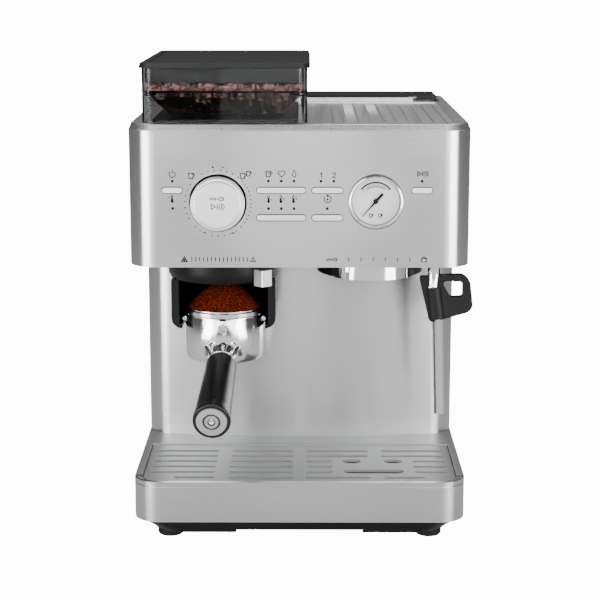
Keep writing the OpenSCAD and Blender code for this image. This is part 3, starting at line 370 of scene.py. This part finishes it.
def finished(name, mesh, setup):
    """Runs a modifier over a mesh and returns the plain result."""
    carrier = bpy.data.objects.new(name + "_carrier", mesh)
    bpy.context.scene.collection.objects.link(carrier)
    setup(carrier)
    bpy.context.view_layer.update()
    graph = bpy.context.evaluated_depsgraph_get()
    made = bpy.data.meshes.new_from_object(carrier.evaluated_get(graph), depsgraph=graph)
    made.name = name
    bpy.data.objects.remove(carrier)
    return made


def eased(node, round_mm=0.0, steps=2, angle=34, material=None):
    """A copy of a CAD piece with joined facets, smooth curves and rounded edges."""
    bm = bmesh.new()
    bm.from_mesh(nodes[node].data)
    bmesh.ops.remove_doubles(bm, verts=bm.verts, dist=0.00002)
    bmesh.ops.dissolve_limit(bm, angle_limit=math.radians(0.4), verts=bm.verts, edges=bm.edges)
    mesh = bpy.data.meshes.new(node + "_eased")
    bm.to_mesh(mesh)
    bm.free()
    soften(mesh, angle)
    if round_mm:
        def rounding(carrier):
            bevel = carrier.modifiers.new("edge_rounding", "BEVEL")
            bevel.width = round_mm * MM
            bevel.segments = steps
            bevel.limit_method = "ANGLE"
            bevel.angle_limit = math.radians(angle)
            bevel.use_clamp_overlap = True
            bevel.miter_outer = "MITER_ARC"
            bevel.harden_normals = True
        mesh = finished(node + "_eased", mesh, rounding)
    return piece(node + "_eased", mesh, home[node], slot_of[node], (node,), material)


# Pieces whose finish differs from that of their slot.
special = {name: deck_steel for name in on_deck}
special["tank_handle"] = finishes["cast_silver"]
# Partly painted shade: the tub is made black so that the grate's slots look as dark as the shade beneath
# them.
special["tray_tub"] = finishes["black_plastic"]
# Visible edges: pressed steel is crisp, castings and plastic are softer.
for name, round_mm, steps in (
        ("head_shell", 0.25, 1), ("column_shell", 0, 1), ("top_frame", 0.7, 2), ("base_housing", 0.4, 1),
        ("tray_front", 0.5, 2), ("tray_grate", 0.5, 2), ("cup_tray", 0, 1), ("group_ring", 0.5, 2),
        ("group_flange", 0.8, 2), ("grinder_cradle", 1.2, 3), ("grind_ring", 0.6, 2),
        ("grind_lever", 0.9, 3),
        ("gauge_case", 0.3, 2), ("gauge_needle", 0.1, 1), ("power_button", 0.45, 2),
        ("drink_button", 0.45, 2),
        ("temperature_button", 0.45, 2), ("shots_button", 0.45, 2), ("clean_button", 0.45, 2),
        ("steam_button", 0.45, 2), ("dial_knob", 0.4, 3), ("dial_recess", 0.2, 1), ("wand_tube", 0, 1),
        ("wand_grip", 2.0, 4), ("hopper_lid", 0.8, 3), ("hopper_body", 0.4, 1), ("hopper_gasket", 0.3, 1),
        ("feet", 0.4, 1), ("tank_lid", 0.8, 2), ("tank_handle", 0.9, 3), ("rear_panel", 0.5, 1),
        ("cord_gland", 0.8, 2), ("panel_screws", 0.1, 1), ("filter_basket", 0.2, 1), ("tray_float", 0.8, 2),
        ("tray_tub", 0.6, 1), ("shower_screen", 0.3, 1), ("status_lights", 0.15, 1),
        ("head_underside", 0.3, 1),
        ("gauge_face", 0, 1), ("gauge_lens", 0, 1)):
    eased(name, round_mm, steps, material=special.get(name))

# ---- Rules for what repeats ------------------------------------------------------------


class Rule:
    """A geometry node tree with named inputs. It ends in real, painted faces."""

    def __init__(self, name):
        self.tree = bpy.data.node_groups.new(name, "GeometryNodeTree")
        self.tree.interface.new_socket("Geometry", in_out="INPUT", socket_type="NodeSocketGeometry")
        self.tree.interface.new_socket("Geometry", in_out="OUTPUT", socket_type="NodeSocketGeometry")
        self.way_in = self.tree.nodes.new("NodeGroupInput")
        self.way_out = self.tree.nodes.new("NodeGroupOutput")

    def size(self, name, kind="Float"):
        self.tree.interface.new_socket(name, in_out="INPUT", socket_type="NodeSocket" + kind)
        return self.way_in.outputs[name]

    def step(self, kind, links=None, **values):
        made = self.tree.nodes.new(kind)
        for key, value in values.items():
            setattr(made, key, value)
        for socket, source in (links or {}).items():
            target = made.inputs[socket]
            if isinstance(source, bpy.types.NodeSocket):
                self.tree.links.new(source, target)
            else:
                target.default_value = source
        return made

    def close(self, geometry, paint):
        real = self.step("GeometryNodeRealizeInstances", {0: geometry})
        painted = self.step("GeometryNodeSetMaterial", {"Geometry": real.outputs[0], "Material": paint})
        self.tree.links.new(painted.outputs[0], self.way_out.inputs[0])


def grow(name, rule, sizes, base=None):
    """Evaluates a rule with its sizes and returns a plain mesh."""
    def setup(carrier):
        growth = carrier.modifiers.new("growth", "NODES")
        growth.node_group = rule.tree
        for socket in rule.tree.interface.items_tree:
            if socket.item_type == "SOCKET" and socket.in_out == "INPUT" and socket.name in sizes:
                growth[socket.identifier] = sizes[socket.name]
    return finished(name, base or bpy.data.meshes.new(name + "_seed"), setup)


def row_rule():
    """Flat marks in a straight row along X."""
    rule = Rule("row_of_marks")
    count, step = rule.size("Count", "Int"), rule.size("Step")
    start, mark = rule.size("Start", "Vector"), rule.size("Mark", "Vector")
    paint = rule.size("Paint", "Material")
    offset = rule.step("ShaderNodeCombineXYZ", {"X": step})
    line = rule.step("GeometryNodeMeshLine", {"Count": count, "Start Location": start,
                                              "Offset": offset.outputs[0]})
    tile = rule.step("GeometryNodeMeshCube", {"Size": mark})
    placed = rule.step("GeometryNodeInstanceOnPoints", {"Points": line.outputs[0],
                                                        "Instance": tile.outputs[0]})
    rule.close(placed.outputs[0], paint)
    return rule


def ring_rule():
    """Marks on an arc that faces the front, each turned to point at the centre."""
    rule = Rule("ring_of_marks")
    count, radius = rule.size("Count", "Int"), rule.size("Radius")
    first, sweep = rule.size("First angle"), rule.size("Sweep")
    centre, mark = rule.size("Centre", "Vector"), rule.size("Mark", "Vector")
    paint = rule.size("Paint", "Material")
    line = rule.step("GeometryNodeMeshLine", {"Count": count})
    index = rule.step("GeometryNodeInputIndex").outputs[0]
    last = rule.step("ShaderNodeMath", {0: count, 1: 1.0}, operation="SUBTRACT").outputs[0]
    share = rule.step("ShaderNodeMath", {0: index, 1: last}, operation="DIVIDE").outputs[0]
    angle = rule.step("ShaderNodeMath", {0: share, 1: sweep, 2: first}, operation="MULTIPLY_ADD").outputs[0]
    cos = rule.step("ShaderNodeMath", {0: angle}, operation="COSINE").outputs[0]
    sin = rule.step("ShaderNodeMath", {0: angle}, operation="SINE").outputs[0]
    x = rule.step("ShaderNodeMath", {0: cos, 1: radius}, operation="MULTIPLY").outputs[0]
    z = rule.step("ShaderNodeMath", {0: sin, 1: radius}, operation="MULTIPLY").outputs[0]
    spot = rule.step("ShaderNodeCombineXYZ", {"X": x, "Z": z}).outputs[0]
    place = rule.step("ShaderNodeVectorMath", {0: spot, 1: centre}, operation="ADD").outputs[0]
    points = rule.step("GeometryNodeSetPosition", {"Geometry": line.outputs[0], "Position": place})
    back = rule.step("ShaderNodeMath", {0: angle, 1: -1.0}, operation="MULTIPLY").outputs[0]
    turn = rule.step("ShaderNodeCombineXYZ", {"Y": back}).outputs[0]
    tile = rule.step("GeometryNodeMeshCube", {"Size": mark})
    placed = rule.step("GeometryNodeInstanceOnPoints", {"Points": points.outputs[0],
                                                        "Instance": tile.outputs[0],
                                                        "Rotation": turn})
    rule.close(placed.outputs[0], paint)
    return rule


def scatter_rule():
    """Copies of one grain over a surface, turned and sized at random from a fixed seed."""
    rule = Rule("scattered_grains")
    grain, density = rule.size("Grain", "Object"), rule.size("Density")
    smallest, largest = rule.size("Smallest"), rule.size("Largest")
    seed, paint = rule.size("Seed", "Int"), rule.size("Paint", "Material")
    spots = rule.step("GeometryNodeDistributePointsOnFaces", {"Mesh": rule.way_in.outputs[0],
                                                              "Density": density,
                                                              "Seed": seed})
    source = rule.step("GeometryNodeObjectInfo", {"Object": grain})
    turn = rule.step("FunctionNodeRandomValue", {"Seed": seed}, data_type="FLOAT_VECTOR")
    turn.inputs["Max"].default_value = (6.283, 6.283, 6.283)
    size = rule.step("FunctionNodeRandomValue", data_type="FLOAT")
    floats = [s for s in size.inputs if s.type == "VALUE"]
    rule.tree.links.new(smallest, floats[0])
    rule.tree.links.new(largest, floats[1])
    value = [s for s in size.outputs if s.type == "VALUE"][0]
    vector = [s for s in turn.outputs if s.type == "VECTOR"][0]
    placed = rule.step("GeometryNodeInstanceOnPoints", {"Points": spots.outputs[0],
                                                        "Instance": source.outputs["Geometry"],
                                                        "Rotation": vector, "Scale": value})
    rule.close(placed.outputs[0], paint)
    return rule


row_of_marks, ring_of_marks, scattered_grains = row_rule(), ring_rule(), scatter_rule()

# ---- Beans and grounds -----------------------------------------------------------------


def shrunk(node, inset_mm):
    """A joined copy of a CAD solid, drawn in by the inset."""
    bm = bmesh.new()
    bm.from_mesh(nodes[node].data)
    bmesh.ops.remove_doubles(bm, verts=bm.verts, dist=0.00002)
    bm.normal_update()
    for vert in bm.verts:
        vert.co -= vert.normal * inset_mm * MM
    mesh = bpy.data.meshes.new(node + "_core")
    bm.to_mesh(mesh)
    bm.free()
    return mesh


def bean_shape():
    """One bean: an oval with a flat side and a crease along it."""
    bm = bmesh.new()
    bmesh.ops.create_uvsphere(bm, u_segments=8, v_segments=6, radius=1)
    for vert in bm.verts:
        x, y, z = vert.co
        dent = 0.35 * math.exp(-(x / 0.25) ** 2) if z > 0 else 0
        vert.co = (x * 3.0 * MM, y * 4.6 * MM, (z * (0.75 if z > 0 else 1.0) - dent) * 2.3 * MM)
    mesh = bpy.data.meshes.new("bean")
    bm.to_mesh(mesh)
    bm.free()
    for face in mesh.polygons:
        face.use_smooth = True
    obj = bpy.data.objects.new("bean", mesh)
    return obj


def granule_shape():
    bm = bmesh.new()
    bmesh.ops.create_icosphere(bm, subdivisions=1, radius=0.55 * MM)
    chance = random.Random(7)
    for vert in bm.verts:
        vert.co *= chance.uniform(0.7, 1.25)
    mesh = bpy.data.meshes.new("granule")
    bm.to_mesh(mesh)
    bm.free()
    return bpy.data.objects.new("granule", mesh)


def merged(name, *meshes):
    bm = bmesh.new()
    for mesh in meshes:
        bm.from_mesh(mesh)
    joined = bpy.data.meshes.new(name)
    bm.to_mesh(joined)
    bm.free()
    for face in joined.polygons:
        face.use_smooth = True
    return joined


def fill_hopper():
    core = shrunk("coffee_beans", 3.4)
    beans = grow("loose_beans", scattered_grains, {
        "Grain": bean_shape(), "Density": 30000.0, "Smallest": 0.85, "Largest": 1.15, "Seed": 3,
        "Paint": finishes["roasted_beans"]}, core.copy())
    piece("loose_beans", merged("loose_beans", core, beans), "hopper", "roasted_beans", ("coffee_beans",))


def heap_grounds():
    core = shrunk("coffee_grounds", 0.5)
    grains = grow("loose_grounds", scattered_grains, {
        "Grain": granule_shape(), "Density": 420000.0, "Smallest": 0.5, "Largest": 1.35, "Seed": 5,
        "Paint": finishes["ground_coffee"]}, core.copy())
    piece("loose_grounds", merged("loose_grounds", core, grains), "filter_holder", "ground_coffee",
          ("coffee_grounds",))


fill_hopper()
heap_grounds()

# ---- Printed marks on the controls, and painted shade around the buttons and the dial ---


class PrintAndShade:
    """Ink, and painted shade lines, on a panel that faces the front: thin raised shapes, drawn in X and Z
    millimetres.
    """

    def __init__(self, face_y, depth_mm=0.12, weight=1.5):
        self.weight = weight
        self.bm = bmesh.new()
        self.front = face_y - depth_mm * MM
        self.back = face_y

    def shape(self, points):
        area = sum(a[0] * b[1] - b[0] * a[1] for a, b in zip(points, points[1:] + points[:1]))
        if area < 0:
            points = points[::-1]
        near = [self.bm.verts.new((x * MM, self.front, z * MM)) for x, z in points]
        far = [self.bm.verts.new((x * MM, self.back, z * MM)) for x, z in points]
        self.bm.faces.new(near)
        self.bm.faces.new(far[::-1])
        for i in range(len(points)):
            j = (i + 1) % len(points)
            self.bm.faces.new((near[j], near[i], far[i], far[j]))

    def line(self, points, width=0.5, closed=False):
        """A line of constant width with mitred corners."""
        width *= self.weight
        pts = [Vector(p) for p in points]
        total = len(pts)
        left, right = [], []
        for i, spot in enumerate(pts):
            before = pts[i - 1] if (i or closed) else None
            after = pts[(i + 1) % total] if (i < total - 1 or closed) else None
            ways = [(b - a).normalized() for a, b in ((before, spot), (spot, after))
                    if a is not None and b is not None]
            way = sum(ways, Vector((0, 0))).normalized()
            side = Vector((-way.y, way.x))
            reach = width / 2 / max(0.5, side.dot(Vector((-ways[0].y, ways[0].x))))
            left.append(spot + side * reach)
            right.append(spot - side * reach)
        spans = total if closed else total - 1
        for i in range(spans):
            j = (i + 1) % total
            self.shape([tuple(left[i]), tuple(left[j]), tuple(right[j]), tuple(right[i])])

    def arc(self, x, z, r, first, last, width=0.5, steps=20, flat=1.0):
        turns = [math.radians(first + (last - first) * i / steps) for i in range(steps + 1)]
        whole = abs(last - first) >= 360
        points = [(x + r * math.cos(t), z + r * flat * math.sin(t))
                  for t in (turns[:-1] if whole else turns)]
        self.line(points, width, closed=whole)

    def gap_shade_pill(self, near, far, gap, width):
        """A painted shade outline with round ends about a box, set off by a gap: the dark of the recess
        round a button.
        """
        half = (far.z - near.z) * 500 + gap
        z = (near.z + far.z) * 500
        ends = ((far.x * 1000 + gap - half, -90), (near.x * 1000 - gap + half, 90))
        turns = [(x, math.radians(first + 22.5 * i)) for x, first in ends for i in range(9)]
        points = [(x + half * math.cos(t), z + half * math.sin(t)) for x, t in turns]
        self.line(points, width, closed=True)

    def dot(self, x, z, r, steps=14):
        self.shape([(x + r * math.cos(math.tau * i / steps), z + r * math.sin(math.tau * i / steps))
                    for i in range(steps)])

    def done(self, name, body, slot="needle_black", material=None):
        mesh = bpy.data.meshes.new(name)
        self.bm.to_mesh(mesh)
        self.bm.free()
        return piece(name, mesh, body, slot, material=material)


def draw_cup(ink_and_shade, x, z, size=1.0):
    s = size
    ink_and_shade.line([(x - 2.4 * s, z + 2.4 * s), (x - 1.8 * s, z - 2.2 * s), (x + 1.2 * s, z - 2.2 * s),
              (x + 1.8 * s, z + 2.4 * s)],
             0.5, closed=True)
    ink_and_shade.arc(x + 1.9 * s, z + 0.7 * s, 1.1 * s, -90, 90, 0.45, 8)


def draw_thermometer(ink_and_shade, x, z):
    ink_and_shade.line([(x - 0.6, z - 0.8), (x - 0.6, z + 2.9)], 0.45)
    ink_and_shade.line([(x + 0.6, z - 0.8), (x + 0.6, z + 2.9)], 0.45)
    ink_and_shade.arc(x, z + 2.8, 0.6, 0, 180, 0.45, 6)
    ink_and_shade.dot(x, z - 1.9, 1.35)
    ink_and_shade.line([(x, z - 1.5), (x, z + 1.0)], 0.4)


def draw_holder(ink_and_shade, x, z, size=1.0):
    s = size
    ink_and_shade.arc(x + 3.6 * s, z, 1.6 * s, 0, 360, 0.5)
    ink_and_shade.line([(x + 5.4 * s, z + 1.3 * s), (x + 5.4 * s, z - 1.3 * s)], 0.5)
    ink_and_shade.line([(x + 2.0 * s, z), (x - 1.2 * s, z)], 0.5)
    ink_and_shade.line([(x - 5.6 * s, z + 0.7 * s), (x - 5.6 * s, z - 0.7 * s), (x - 1.2 * s, z - 0.7 * s),
              (x - 1.2 * s, z + 0.7 * s)], 0.45, closed=True)


def draw_start_stop(ink_and_shade, x, z, size=1.0):
    s = size
    ink_and_shade.line([(x - 4.8 * s, z - 2.1 * s), (x - 4.8 * s, z + 2.1 * s), (x - 1.4 * s, z)], 0.5, closed=True)
    ink_and_shade.line([(x, z - 2.3 * s), (x, z + 2.3 * s)], 0.5)
    ink_and_shade.arc(x + 3.4 * s, z, 2.1 * s, 0, 360, 0.5)
    ink_and_shade.dot(x + 3.4 * s, z, 0.8 * s)


def draw_plus(ink_and_shade, x, z, size=1.1):
    ink_and_shade.line([(x - size, z), (x + size, z)], 0.5)
    ink_and_shade.line([(x, z - size), (x, z + size)], 0.5)


dial_r = (high("dial_knob").x - low("dial_knob").x) * 500
gauge_r = (high("gauge_case").x - low("gauge_case").x) * 500


def print_and_shade_panel():
    ink_and_shade = PrintAndShade(head_front)
    ink_and_shade.arc(-111.6, 340.1, 2.6, 125, 415, 0.5)
    ink_and_shade.line([(-111.6, 340.8), (-111.6, 344.0)], 0.5)
    draw_thermometer(ink_and_shade, -112.2, 318.0)
    ink_and_shade.line([(-115.6, 319.6), (-114.0, 319.6)], 0.45)
    draw_cup(ink_and_shade, -95.0, 338.6)
    draw_cup(ink_and_shade, -49.6, 338.6)
    draw_cup(ink_and_shade, -44.6, 340.6, 0.85)
    draw_plus(ink_and_shade, -76, 346.4)
    ink_and_shade.line([(-67.9, 346.4), (-65.7, 346.4)], 0.5)
    ink_and_shade.line([(-85.4, 288.5), (-83.0, 288.5)], 0.5)
    draw_plus(ink_and_shade, -58.6, 287.9)
    draw_cup(ink_and_shade, -27.0, 340.4, 1.05)
    ink_and_shade.line([(-29.4, 341.4), (-25.4, 341.4)], 0.45)
    ink_and_shade.line([(-18.9, 341.4), (-17.7, 343.4), (-15.6, 342.8), (-13.5, 343.4), (-12.3, 341.4),
              (-15.6, 337.6)], 0.5,
             closed=True)
    ink_and_shade.line([(-4.5, 344.0), (-6.1, 340.2), (-5.7, 338.4), (-4.5, 337.7), (-3.3, 338.4), (-2.9, 340.2)],
             0.5,
             closed=True)
    for x, bars in ((-26.4, 1), (-15.6, 2), (-4.5, 3)):
        draw_thermometer(ink_and_shade, x - 0.7, 318.0)
        for i in range(bars):
            ink_and_shade.line([(x + 1.2, 317.6 + 1.3 * i), (x + 2.4, 317.6 + 1.3 * i)], 0.45)
    ink_and_shade.line([(18.3, 340.6), (19.7, 341.6), (19.7, 337.3)], 0.6)
    ink_and_shade.line([(29.2, 340.7), (29.8, 341.5), (30.9, 341.6), (31.8, 340.9), (31.8, 340.0), (29.1, 337.5),
              (32.1, 337.5)], 0.55)
    ink_and_shade.arc(24.9, 318.2, 3.1, 140, 440, 0.5)
    ink_and_shade.shape([(24.2, 322.6), (24.2, 319.8), (26.4, 321.2)])
    ink_and_shade.line([(25.3, 319.2), (24.3, 318.0), (25.5, 318.0), (24.6, 316.8)], 0.45)
    draw_start_stop(ink_and_shade, 108.2, 340.7, 0.9)
    ink_and_shade.line([(-104.6, 262.2), (-102, 266.8), (-99.4, 262.2)], 0.6, closed=True)
    ink_and_shade.dot(-102, 263.7, 1.1)
    ink_and_shade.line([(-43.6, 262.4), (-41.2, 266.4), (-38.8, 262.4)], 0.45, closed=True)
    ink_and_shade.dot(-41.2, 263.6, 0.6)
    draw_holder(ink_and_shade, 28.9, 264.1, 0.8)
    ink_and_shade.line([(108.2, 262.2), (112.8, 262.2), (112.8, 265.2), (108.2, 265.2)], 0.5, closed=True)
    ink_and_shade.arc(110.5, 265.4, 1.5, 0, 180, 0.5, 8)
    # Painted shade: a dark outline in the recess gap round each button.
    for name in ("power_button", "drink_button", "temperature_button", "shots_button", "clean_button",
                 "steam_button"):
        ink_and_shade.gap_shade_pill(low(name), high(name), 0.35, 0.4)
    # Painted shade: a dark ring in the gap round the dial, and a heavier arc over its top where the panel
    # shades it.
    ink_and_shade.arc(dial_at.x * 1000, dial_at.z * 1000, dial_r + 0.9, 0, 360, 0.45, 72)
    ink_and_shade.arc(dial_at.x * 1000, dial_at.z * 1000, dial_r + 1.3, 15, 165, 0.9, 40)
    ink_and_shade.arc(gauge_at.x * 1000, gauge_at.z * 1000, gauge_r + 0.35, 0, 360, 0.4, 72)
    ink_and_shade.done("panel_marks", "chassis")
    face = head_front - 0.06 * MM
    marks = [
        grow("grind_scale", row_of_marks, {"Count": 15, "Step": 3.507 * MM,
                                           "Start": (-0.0954, face, 0.2643),
             "Mark": (0.8 * MM, 0.12 * MM, 4.2 * MM), "Paint": finishes["needle_black"]}),
        grow("holder_scale", row_of_marks, {"Count": 6, "Step": 10.84 * MM, "Start": (0.0438, face, 0.2643),
             "Mark": (0.7 * MM, 0.12 * MM, 3.4 * MM), "Paint": finishes["needle_black"]})]
    for first, sweep, count in ((118, -66, 7), (42, -78, 12), (-46, -88, 9), (-152, -62, 7)):
        marks.append(grow("dose_marks", ring_of_marks, {
            "Count": count, "Radius": 29.2 * MM, "First angle": math.radians(first),
            "Sweep": math.radians(sweep),
            "Centre": (dial_at.x, face, dial_at.z), "Mark": (1.1 * MM, 0.12 * MM, 1.1 * MM),
            "Paint": finishes["needle_black"]}))
    mesh = merged("panel_scales", *marks)
    for face in mesh.polygons:
        face.use_smooth = False
    piece("panel_scales", mesh, "chassis", "needle_black")


def print_dial():
    x, z = dial_at.x * 1000, dial_at.z * 1000
    ink_and_shade = PrintAndShade(low("dial_knob").y, 0.1)
    draw_holder(ink_and_shade, x - 0.2, z + 5.8, 1.05)
    draw_start_stop(ink_and_shade, x + 0.3, z - 1.2, 1.1)
    ink_and_shade.done("dial_marks", "dial")


def print_gauge():
    x, z = gauge_at.x * 1000, gauge_at.z * 1000
    face = low("gauge_face").y
    ink_and_shade = PrintAndShade(face, 0.1)
    ink_and_shade.arc(x, z, gauge_r - 2.6, 0, 360, 0.35, 72)
    ink_and_shade.arc(x, z, 16.6, 38, 142, 0.9, 26)
    ink_and_shade.arc(x, z, 13.0, 52, 128, 0.5, 20)
    for side in (-1, 1):
        draw_cup(ink_and_shade, x + 4.1 * side - 0.1, z - 13.0, 0.62)
    ink_and_shade.done("gauge_marks", "chassis")
    ticks = grow("gauge_ticks", ring_of_marks, {
        "Count": 23, "Radius": 14.7 * MM, "First angle": math.radians(141), "Sweep": math.radians(-102),
        "Centre": (gauge_at.x, face - 0.05 * MM, gauge_at.z), "Mark": (1.7 * MM, 0.1 * MM, 0.42 * MM),
        "Paint": finishes["needle_black"]})
    piece("gauge_ticks", ticks, "chassis", "needle_black")


print_and_shade_panel()
print_dial()
print_gauge()

# ---- Filter holder ---------------------------------------------------------------------


def turned(name, outline, segments=72, angle=32):
    """A turned body about +Z from a closed outline of radius and height in millimetres."""
    bm = bmesh.new()
    rings = []
    for r, z in outline:
        if r < 0.001:
            rings.append([bm.verts.new((0, 0, z * MM))])
        else:
            rings.append([bm.verts.new((r * MM * math.cos(math.tau * i / segments),
                                        r * MM * math.sin(math.tau * i / segments), z * MM))
                          for i in range(segments)])
    for a, b in zip(rings, rings[1:]):
        for i in range(segments):
            j = (i + 1) % segments
            corners = [a[i % len(a)], a[j % len(a)], b[j % len(b)], b[i % len(b)]]
            unique = list(dict.fromkeys(corners))
            if len(unique) > 2:
                bm.faces.new(unique)
    return from_bmesh(name, bm, angle)


def tube(bm, points, radii, sides=16):
    """A round bar through points, with a radius at each and closed ends."""
    rings = []
    for i, spot in enumerate(points):
        ahead = (points[min(i + 1, len(points) - 1)] - points[max(i - 1, 0)]).normalized()
        across = ahead.cross(Vector((0, 0, 1)) if abs(ahead.z) < 0.9 else Vector((1, 0, 0))).normalized()
        up = across.cross(ahead)
        rings.append([bm.verts.new(spot + radii[i] * (across * math.cos(math.tau * k / sides)
                                                      + up * math.sin(math.tau * k / sides)))
                      for k in range(sides)])
    for a, b in zip(rings, rings[1:]):
        for k in range(sides):
            bm.faces.new((a[k], a[(k + 1) % sides], b[(k + 1) % sides], b[k]))
    bm.faces.new(rings[0][::-1])
    bm.faces.new(rings[-1])


def bend(start, middle_point, end, steps=10):
    """Points on a smooth curve from start to end, pulled towards the middle point."""
    spots = []
    for i in range(steps + 1):
        t = i / steps
        spots.append(start * (1 - t) ** 2 + middle_point * 2 * t * (1 - t) + end * t ** 2)
    return spots


cup_top = high("filter_holder").z * 1000
cup_low = cup_top - 47
cup_r = 37.5
to_outlet = Matrix.Translation((outlet_x, outlet_y, 0))
handle_turn = (Matrix.Rotation(math.radians(-2.0), 4, "Z") @ Matrix.Rotation(math.radians(104), 4, "X"))
to_handle = Matrix.Translation((outlet_x, outlet_y - (cup_r - 3) * MM, (cup_low + 7.5) * MM)) @ handle_turn


def make_cup():
    """Cast cup with a rim, two ears, a boss, a yoke that runs to the grip, and two spouts."""
    bm = bmesh.new()
    shell = turned("cup_shell", [
        (3, cup_low + 3), (3, cup_low - 2), (24, cup_low - 2), (32, cup_low - 1.6), (35.4, cup_low),
        (37, cup_low + 3.6),
        (37.2, cup_top - 8), (36.7, cup_top - 7), (36.7, cup_top - 5), (37.5, cup_top - 4),
        (37.5, cup_top - 0.8),
        (37.1, cup_top - 0.2), (36.4, cup_top), (31.6, cup_top), (31, cup_top - 0.8), (31, cup_low + 3.2),
        (3, cup_low + 3.0)])
    bm.from_mesh(shell)
    bmesh.ops.transform(bm, matrix=to_outlet, verts=bm.verts)
    neck = turned("neck", [(0, -3), (12.5, -3), (11.5, 2), (9.6, 8), (9.3, 15.4), (10.6, 16.2),
                           (12.8, 17.2),
                           (13.9, 18.6), (14.2, 20.4), (13.6, 21), (0, 21)])
    neck.transform(to_handle)
    bm.from_mesh(neck)
    for side in (-1, 1):
        root = Vector((outlet_x + side * 15.5 * MM, outlet_y - 32 * MM, (cup_low + 8) * MM))
        crown = Vector((outlet_x + side * 15.0 * MM, outlet_y - 45 * MM, (cup_low + 27) * MM))
        foot = to_handle @ Vector((side * 9.8 * MM, 0.001, 18.5 * MM))
        tube(bm, bend(root, crown, foot, 14), [(2.7 - 0.7 * i / 14) * MM for i in range(15)])
        ear = Vector((outlet_x + side * 37.4 * MM, outlet_y, (cup_top - 9.8) * MM))
        tube(bm, [ear + Vector((0, y * MM, 0)) for y in (-10.6, -10, -8, 0, 8, 10, 10.6)],
             [r * MM for r in (1.6, 2.5, 2.9, 3.0, 2.9, 2.5, 1.6)])
    boss = turned("boss", [(0, 33), (4.6, 33), (4.6, 37.6), (4.2, 38.2), (2.6, 38.2), (2.2, 37.8),
                           (0, 37.8)], 24)
    boss.transform(Matrix.Translation((outlet_x, outlet_y, (cup_low + 33) * MM))
                   @ Matrix.Rotation(math.radians(90), 4, "X"))
    bm.from_mesh(boss)
    for side in (-1, 1):
        spout = bend(Vector((outlet_x, outlet_y, (cup_low + 1) * MM)),
                     Vector((outlet_x + side * 7 * MM, outlet_y, (cup_low - 5) * MM)),
                     Vector((outlet_x + side * 5.4 * MM, outlet_y, (cup_low - 17.4) * MM)), 8)
        tube(bm, spout, [r * MM for r in (6.5, 5.2, 4.2, 3.6, 3.2, 2.9, 2.7, 2.5, 2.3)])
    mesh = bpy.data.meshes.new("holder_cup")
    bm.to_mesh(mesh)
    bm.free()
    soften(mesh, 32)
    piece("holder_cup", mesh, "filter_holder", "chrome", ("filter_holder",), finishes["cast_chrome"])
    slot_mark = PrintAndShade(outlet_y - 37.45 * MM, 0.1)
    x, z = outlet_x * 1000, cup_top - 6
    slot_mark.shape([(x - 3, z - 0.8), (x + 3, z - 0.8), (x + 3, z + 0.8), (x - 3, z + 0.8)])
    slot_mark.done("holder_slot", "filter_holder", "black_plastic")


def make_grip():
    """Glossy grip that widens to its end, with a bright cap, thin black rings of painted shade in the cap's
    groove and well, and a screw in it.
    """
    outline = [(0, 20.9), (13.2, 20.9), (14.0, 21.6), (14.2, 30), (14.6, 52), (15.2, 84), (15.9, 110),
               (16.4, 119.6),
               (16.6, 121), (16.6, 123.6), (16.3, 124.6), (15.6, 125.1), (14.0, 125), (13.8, 124.4),
               (0, 124.4)]
    grip = turned("holder_grip", outline, 96, 40)
    grip.transform(to_handle)
    piece("holder_grip", grip, "filter_holder", "black_plastic", ("holder_handle",), finishes["grip_gloss"])
    cap = turned("holder_cap", [(0, 124.3), (13.7, 124.3), (13.7, 125.2), (13.2, 125.9), (8.0, 126.5),
                                (7.4, 125.4),
                                (6.4, 125.4), (5.8, 126.5), (3.6, 126.5), (3.3, 125.7), (0, 125.7)], 96, 28)
    cap.transform(to_handle)
    piece("holder_cap", cap, "filter_holder", "chrome", ("handle_cap",), finishes["spun_cap"])
    # Painted shade: thin black rings lying in the cap's groove and its centre well.
    for name, inner, outer, base in (("cap_groove", 6.5, 7.3, 125.3), ("cap_well", 2.7, 3.3, 125.6)):
        ring = turned(name, [(inner, base), (outer, base), (outer, base + 0.3), (inner, base + 0.3),
                             (inner, base)], 64)
        ring.transform(to_handle)
        piece(name, ring, "filter_holder", "black_plastic")
    screw = turned("cap_screw", [(1.1, 125.2), (1.1, 126.2), (1.5, 126.45), (2.3, 126.45), (2.6, 126.1),
                                 (2.6, 125.6),
                                 (1.1, 125.2)], 6)
    screw.transform(to_handle)
    piece("cap_screw", screw, "filter_holder", "chrome")


make_cup()
make_grip()

# ---- Update the view layer -------------------------------------------------------------

bpy.context.view_layer.update()
